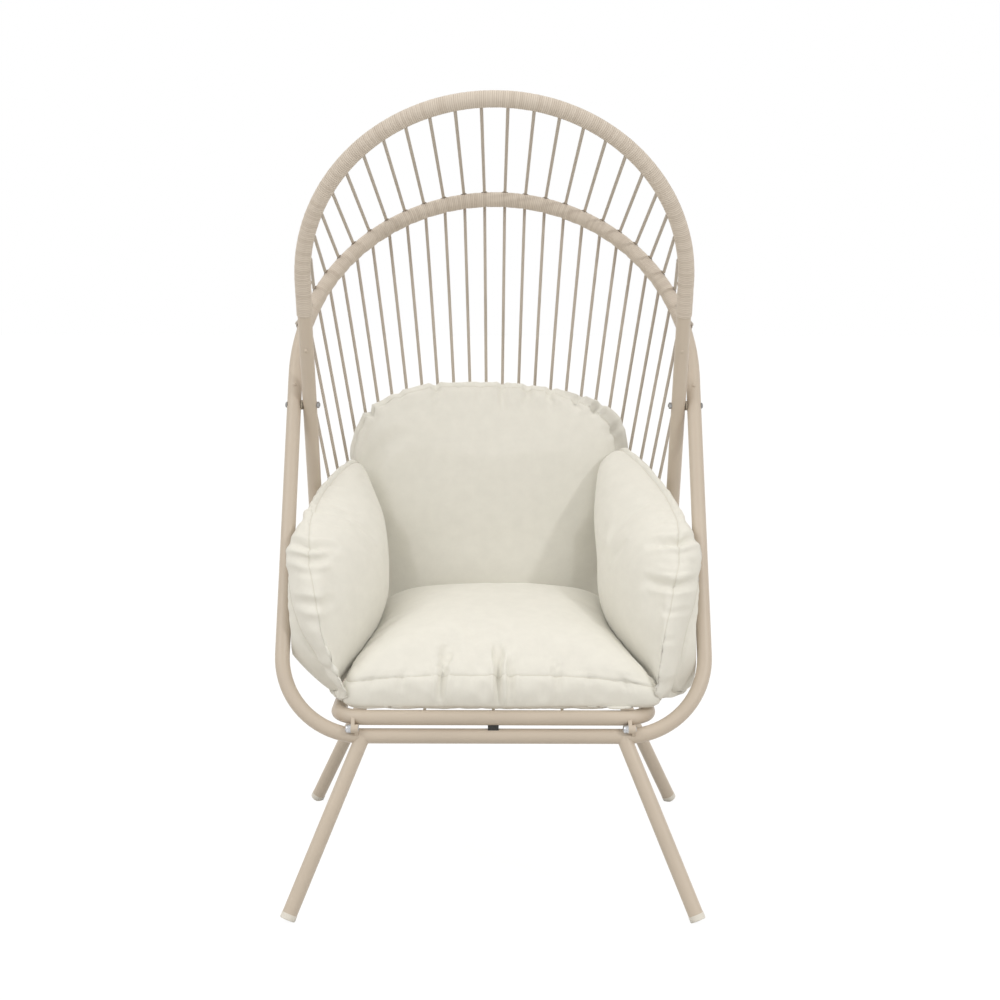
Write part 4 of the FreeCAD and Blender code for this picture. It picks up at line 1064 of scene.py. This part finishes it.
# %% Back pad
BACK_OUTLINE = [(-0.195, 0.336), (0.0, 0.333), (0.190, 0.336), (0.208, 0.460), (0.222, 0.560),
                (0.247, 0.690), (0.249, 0.742), (0.235, 0.785), (0.198, 0.809), (0.142, 0.822),
                (0.080, 0.831), (0.010, 0.837), (-0.100, 0.835), (-0.155, 0.826), (-0.203, 0.807),
                (-0.238, 0.779), (-0.256, 0.738), (-0.258, 0.690), (-0.232, 0.560), (-0.210, 0.460)]
CORD_HEIGHTS = [0.33, 0.56, 0.70, 0.85]
CORD_MIDDLE = [0.250, 0.250, 0.238, 0.224]
CORD_BOW = [0.30, 0.72, 0.76, 0.86]
BEFORE_CORDS = 0.003
BACK_THICK = 0.066
BACK_SWELL = 0.048
SHOULDER_IN = 0.024
SHOULDER_DOWN = 0.008
TOP_OVERHANG = 0.006


def cord_plane(x, z):
    """Y of the front of the strung cords behind the back pad."""
    bow = np.interp(z, CORD_HEIGHTS, CORD_BOW) * x * x
    return np.interp(z, CORD_HEIGHTS, CORD_MIDDLE) - bow - BEFORE_CORDS


def back_front(x, z, out):
    upper = ramp(z, 0.62, 0.1)
    shoulder = ramp(x, 0.10, 0.12) * upper * out ** 4
    over = upper * (out ** 4 - shoulder)
    y = cord_plane(x, z) - BACK_THICK - BACK_SWELL * (1 - out ** 3.2) ** 0.62
    return x - SHOULDER_IN * shoulder, y, z - SHOULDER_DOWN * shoulder + TOP_OVERHANG * over


def back_rear(x, z, out):
    return x, cord_plane(x, z) - 0.004 - 0.012 * out ** 4, z


back_pad = Pad("back_pad", BACK_OUTLINE, back_front, back_rear, 56, 8, 0.008)
stuff(back_pad, 0.010, 0.0022, 9.0)
gather(back_pad, 5, 7, 0.0026, lambda place: place[2] > 0.62)
for tuck_x, tuck_z, depth in ((-0.240, 0.796, 0.011), (-0.185, 0.822, 0.005), (-0.110, 0.840, 0.007),
                              (0.014, 0.842, 0.008), (0.062, 0.838, 0.005), (0.108, 0.830, 0.007),
                              (0.165, 0.815, 0.007), (0.205, 0.795, 0.008), (0.225, 0.76, 0.007)):
    pucker(back_pad, back_pad.rim_near((tuck_x, 0.165, tuck_z)), 5, 0.006, depth)
fold(back_pad, [(-0.150, 0.097, 0.761), (-0.197, 0.098, 0.742), (-0.222, 0.105, 0.708),
                (-0.236, 0.108, 0.67)], 0.014, 0.008, 0.7)
fold(back_pad, [(0.200, 0.135, 0.775), (0.228, 0.145, 0.735), (0.236, 0.15, 0.680)], 0.007, 0.005, 0.5)
back_places = back_pad.places()
back_places[:, 1] = np.minimum(back_places[:, 1], cord_plane(back_places[:, 0], back_places[:, 2]))
back_pad.move_to(back_places)
sew_in(back_pad, "cushion_back")

# %% [markdown]
# ## The seat pad
# The seat is a thick wedge: low at the front band, which shows between the seam and the ring,
# and full towards the back, where it is pressed against the back pad. Its front seam drops at
# the corners, and two deep folds and a few light ones cross the band where it was sewn short.

# %% Seat pad
SEAT_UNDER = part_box("cushion_seat")[0].z + 0.001
SEAT_OUTLINE = [(-0.234, -0.255), (-0.120, -0.262), (0.0, -0.264), (0.130, -0.262), (0.266, -0.257),
                (0.258, -0.200), (0.240, -0.130), (0.224, -0.040), (0.208, 0.090), (0.186, 0.116),
                (0.0, 0.120), (-0.186, 0.116), (-0.208, 0.090), (-0.224, -0.040), (-0.236, -0.130),
                (-0.244, -0.200)]
SEAT_STATIONS = [-0.264, -0.20, -0.10, 0.0, 0.09, 0.122]
SEAT_SEAM = [0.389, 0.396, 0.411, 0.426, 0.446, 0.456]
SEAT_CROWN = 0.054
CORNER_DROP = 0.018
UNDER_EDGE = 0.003


def seat_top(x, y, out):
    seam_z = np.interp(y, SEAT_STATIONS, SEAT_SEAM) - CORNER_DROP * ramp(abs(x), 0.0, 0.25, 1.1) ** 3
    return x, y, seam_z + SEAT_CROWN * (1 - out ** 3) ** 0.7


def seat_bottom(x, y, out):
    return x, y, SEAT_UNDER + UNDER_EDGE * ramp(out, 0.82, 0.18) ** 2


seat_pad = Pad("seat_pad", SEAT_OUTLINE, seat_top, seat_bottom, 56, 8, 0.007)
stuff(seat_pad, 0.009, 0.003, 8.0)
gather(seat_pad, 3, 9, 0.0018, lambda place: place[1] < -0.15)
for fold_x, depth, steps in ((-0.082, 0.0125, 9), (0.008, 0.0135, 8), (0.030, 0.007, 4), (0.102, 0.006, 6),
                             (-0.150, 0.004, 3), (-0.205, 0.005, 4), (0.215, 0.006, 4), (0.160, 0.003, 3)):
    pucker(seat_pad, seat_pad.rim_near((fold_x, -0.262, 0.385)), steps, 0.006, depth)
fold(seat_pad, [(-0.080, -0.25, 0.405), (-0.074, -0.21, 0.430), (-0.082, -0.14, 0.450)], 0.013, 0.007, 0.25)
fold(seat_pad, [(-0.024, -0.23, 0.425), (-0.042, -0.17, 0.447), (-0.064, -0.10, 0.460)], 0.017, 0.006, 0.4)
fold(seat_pad, [(0.010, -0.25, 0.405), (0.002, -0.21, 0.430), (-0.014, -0.15, 0.450)], 0.013, 0.006, 0.2)
seat_places = seat_pad.places()
seat_places[:, 2] = np.maximum(seat_places[:, 2], SEAT_UNDER)
seat_pad.move_to(seat_places)
keep_behind(seat_pad, back_pad, (0, 1, 0))
sew_in(seat_pad, "cushion_seat")

# %% [markdown]
# ## The arm pads
# Each arm is a fat pad that stands along the side. Seen from the side its outline drops from
# the shoulder of the back to the front corner of the seat. The inner panel is the plump one;
# its seam runs near the outside, and the narrow band beyond it is gathered. The arms press
# against the seat and the back, and a straight side tube of the hoop keeps them from outside.

# %% Arm pads
ARM_OUTLINE = [(0.124, 0.480), (0.127, 0.580), (0.122, 0.672), (0.100, 0.704), (0.050, 0.698),
               (-0.010, 0.676), (-0.060, 0.652), (-0.112, 0.632), (-0.166, 0.600), (-0.214, 0.545),
               (-0.250, 0.470), (-0.267, 0.400), (-0.262, 0.350), (-0.200, 0.341), (-0.110, 0.346),
               (-0.030, 0.356), (0.056, 0.388), (0.108, 0.430)]
ARM_STATIONS = [-0.264, -0.24, -0.20, -0.12, -0.04, 0.03, 0.09, 0.118]
ARM_INSIDE = [0.266, 0.254, 0.238, 0.212, 0.191, 0.180, 0.184, 0.196]
ARM_SEAM = [0.276, 0.294, 0.312, 0.316, 0.305, 0.287, 0.270, 0.258]
ARM_OUTSIDE = [0.298, 0.322, 0.341, 0.336, 0.322, 0.304, 0.288, 0.270]
ARM_BESIDE_TUBE = 0.3415
ARM_OUT_MOST = 0.362
REAR_NARROWER = 0.028
ARM_SWELL = 0.024
ARM_SEAM_BACK = 0.050


def tube_side(z):
    """Y of the outer hoop's straight side at a height."""
    return -HALF_BASE + (z - BAR_Z) * math.tan(LEAN)


def clear_of_hoop(pad, sign):
    """Holds an arm's outer side inside the hoop, but lets it swell in front of the tube."""
    places = pad.places()
    ahead = np.clip((tube_side(places[:, 2]) - 0.020 - places[:, 1]) / 0.025, 0, 1)
    behind = np.clip(places[:, 1] / 0.05, 0, 1)
    limit = ARM_BESIDE_TUBE + (ARM_OUT_MOST - ARM_BESIDE_TUBE) * ahead * ahead * (3 - 2 * ahead)
    limit -= behind * REAR_NARROWER
    places[:, 0] = sign * np.minimum(sign * places[:, 0], limit)
    pad.move_to(places)


def arm_pad(name, sign, tucked, tucked_below, raised, leaned, slimmed, seed, folds):
    """The foot is tucked in under the seat's corner; the peak is raised, leans inwards and slims."""
    def at_peak(y, z):
        return ramp(y, -0.06, 0.14) * ramp(z, 0.54, 0.14)

    def drawn_in(z):
        return tucked * ramp(-z, -tucked_below, 0.11, 1.1) ** 1.6

    def inside(y, z, out):
        seam_x = np.interp(y, ARM_STATIONS, ARM_SEAM) - 0.6 * drawn_in(z)
        full = (seam_x - np.interp(y, ARM_STATIONS, ARM_INSIDE)) * (1 - slimmed * at_peak(y, z))
        seam_x -= leaned * at_peak(y, z)
        return sign * (seam_x - max(full, 0.01) * (1 - out ** 2.6) ** 0.6), y, z + raised * at_peak(y, z)

    def outside(y, z, out):
        swell = ARM_SWELL * ramp(-y, 0.13, 0.06)
        outside_x = np.interp(y, ARM_STATIONS, ARM_OUTSIDE) - drawn_in(z) - leaned * at_peak(y, z)
        back = ARM_SEAM_BACK * ramp(-y, 0.0, 0.2) * out ** 2
        return sign * (outside_x + swell - 0.004 * out ** 4), y + back, z + raised * at_peak(y, z)

    pad = Pad(name + "_arm_pad", ARM_OUTLINE, inside, outside, 52, 6, 0.005, flipped=sign > 0)
    stuff(pad, 0.009, 0.0025, 9.0)
    gather(pad, seed, 8, 0.0024, lambda place: place[1] < 0.06)
    for (y, z), steps, depth in folds:
        index = pad.rim_near((sign * np.interp(y, ARM_STATIONS, ARM_SEAM), y, z))
        pucker(pad, index, steps, 0.008, depth)
    clear_of_hoop(pad, sign)
    keep_behind(pad, seat_pad, (-sign, 0, 0))
    keep_behind(pad, back_pad, (0, 1, 0))
    sew_in(pad, f"cushion_{name}_arm")


arm_pad("left", -1, 0.066, 0.46, 0.0, 0.014, 0.35, 7,
        (((-0.185, 0.590), 7, 0.008), ((-0.235, 0.500), 6, 0.006), ((-0.195, 0.570), 4, 0.006),
         ((-0.090, 0.645), 6, 0.006), ((-0.264, 0.385), 6, 0.006)))
arm_pad("right", 1, 0.034, 0.43, 0.024, 0.036, 0.0, 11,
        (((-0.170, 0.597), 8, 0.012), ((-0.222, 0.530), 8, 0.012), ((-0.266, 0.372), 6, 0.005)))
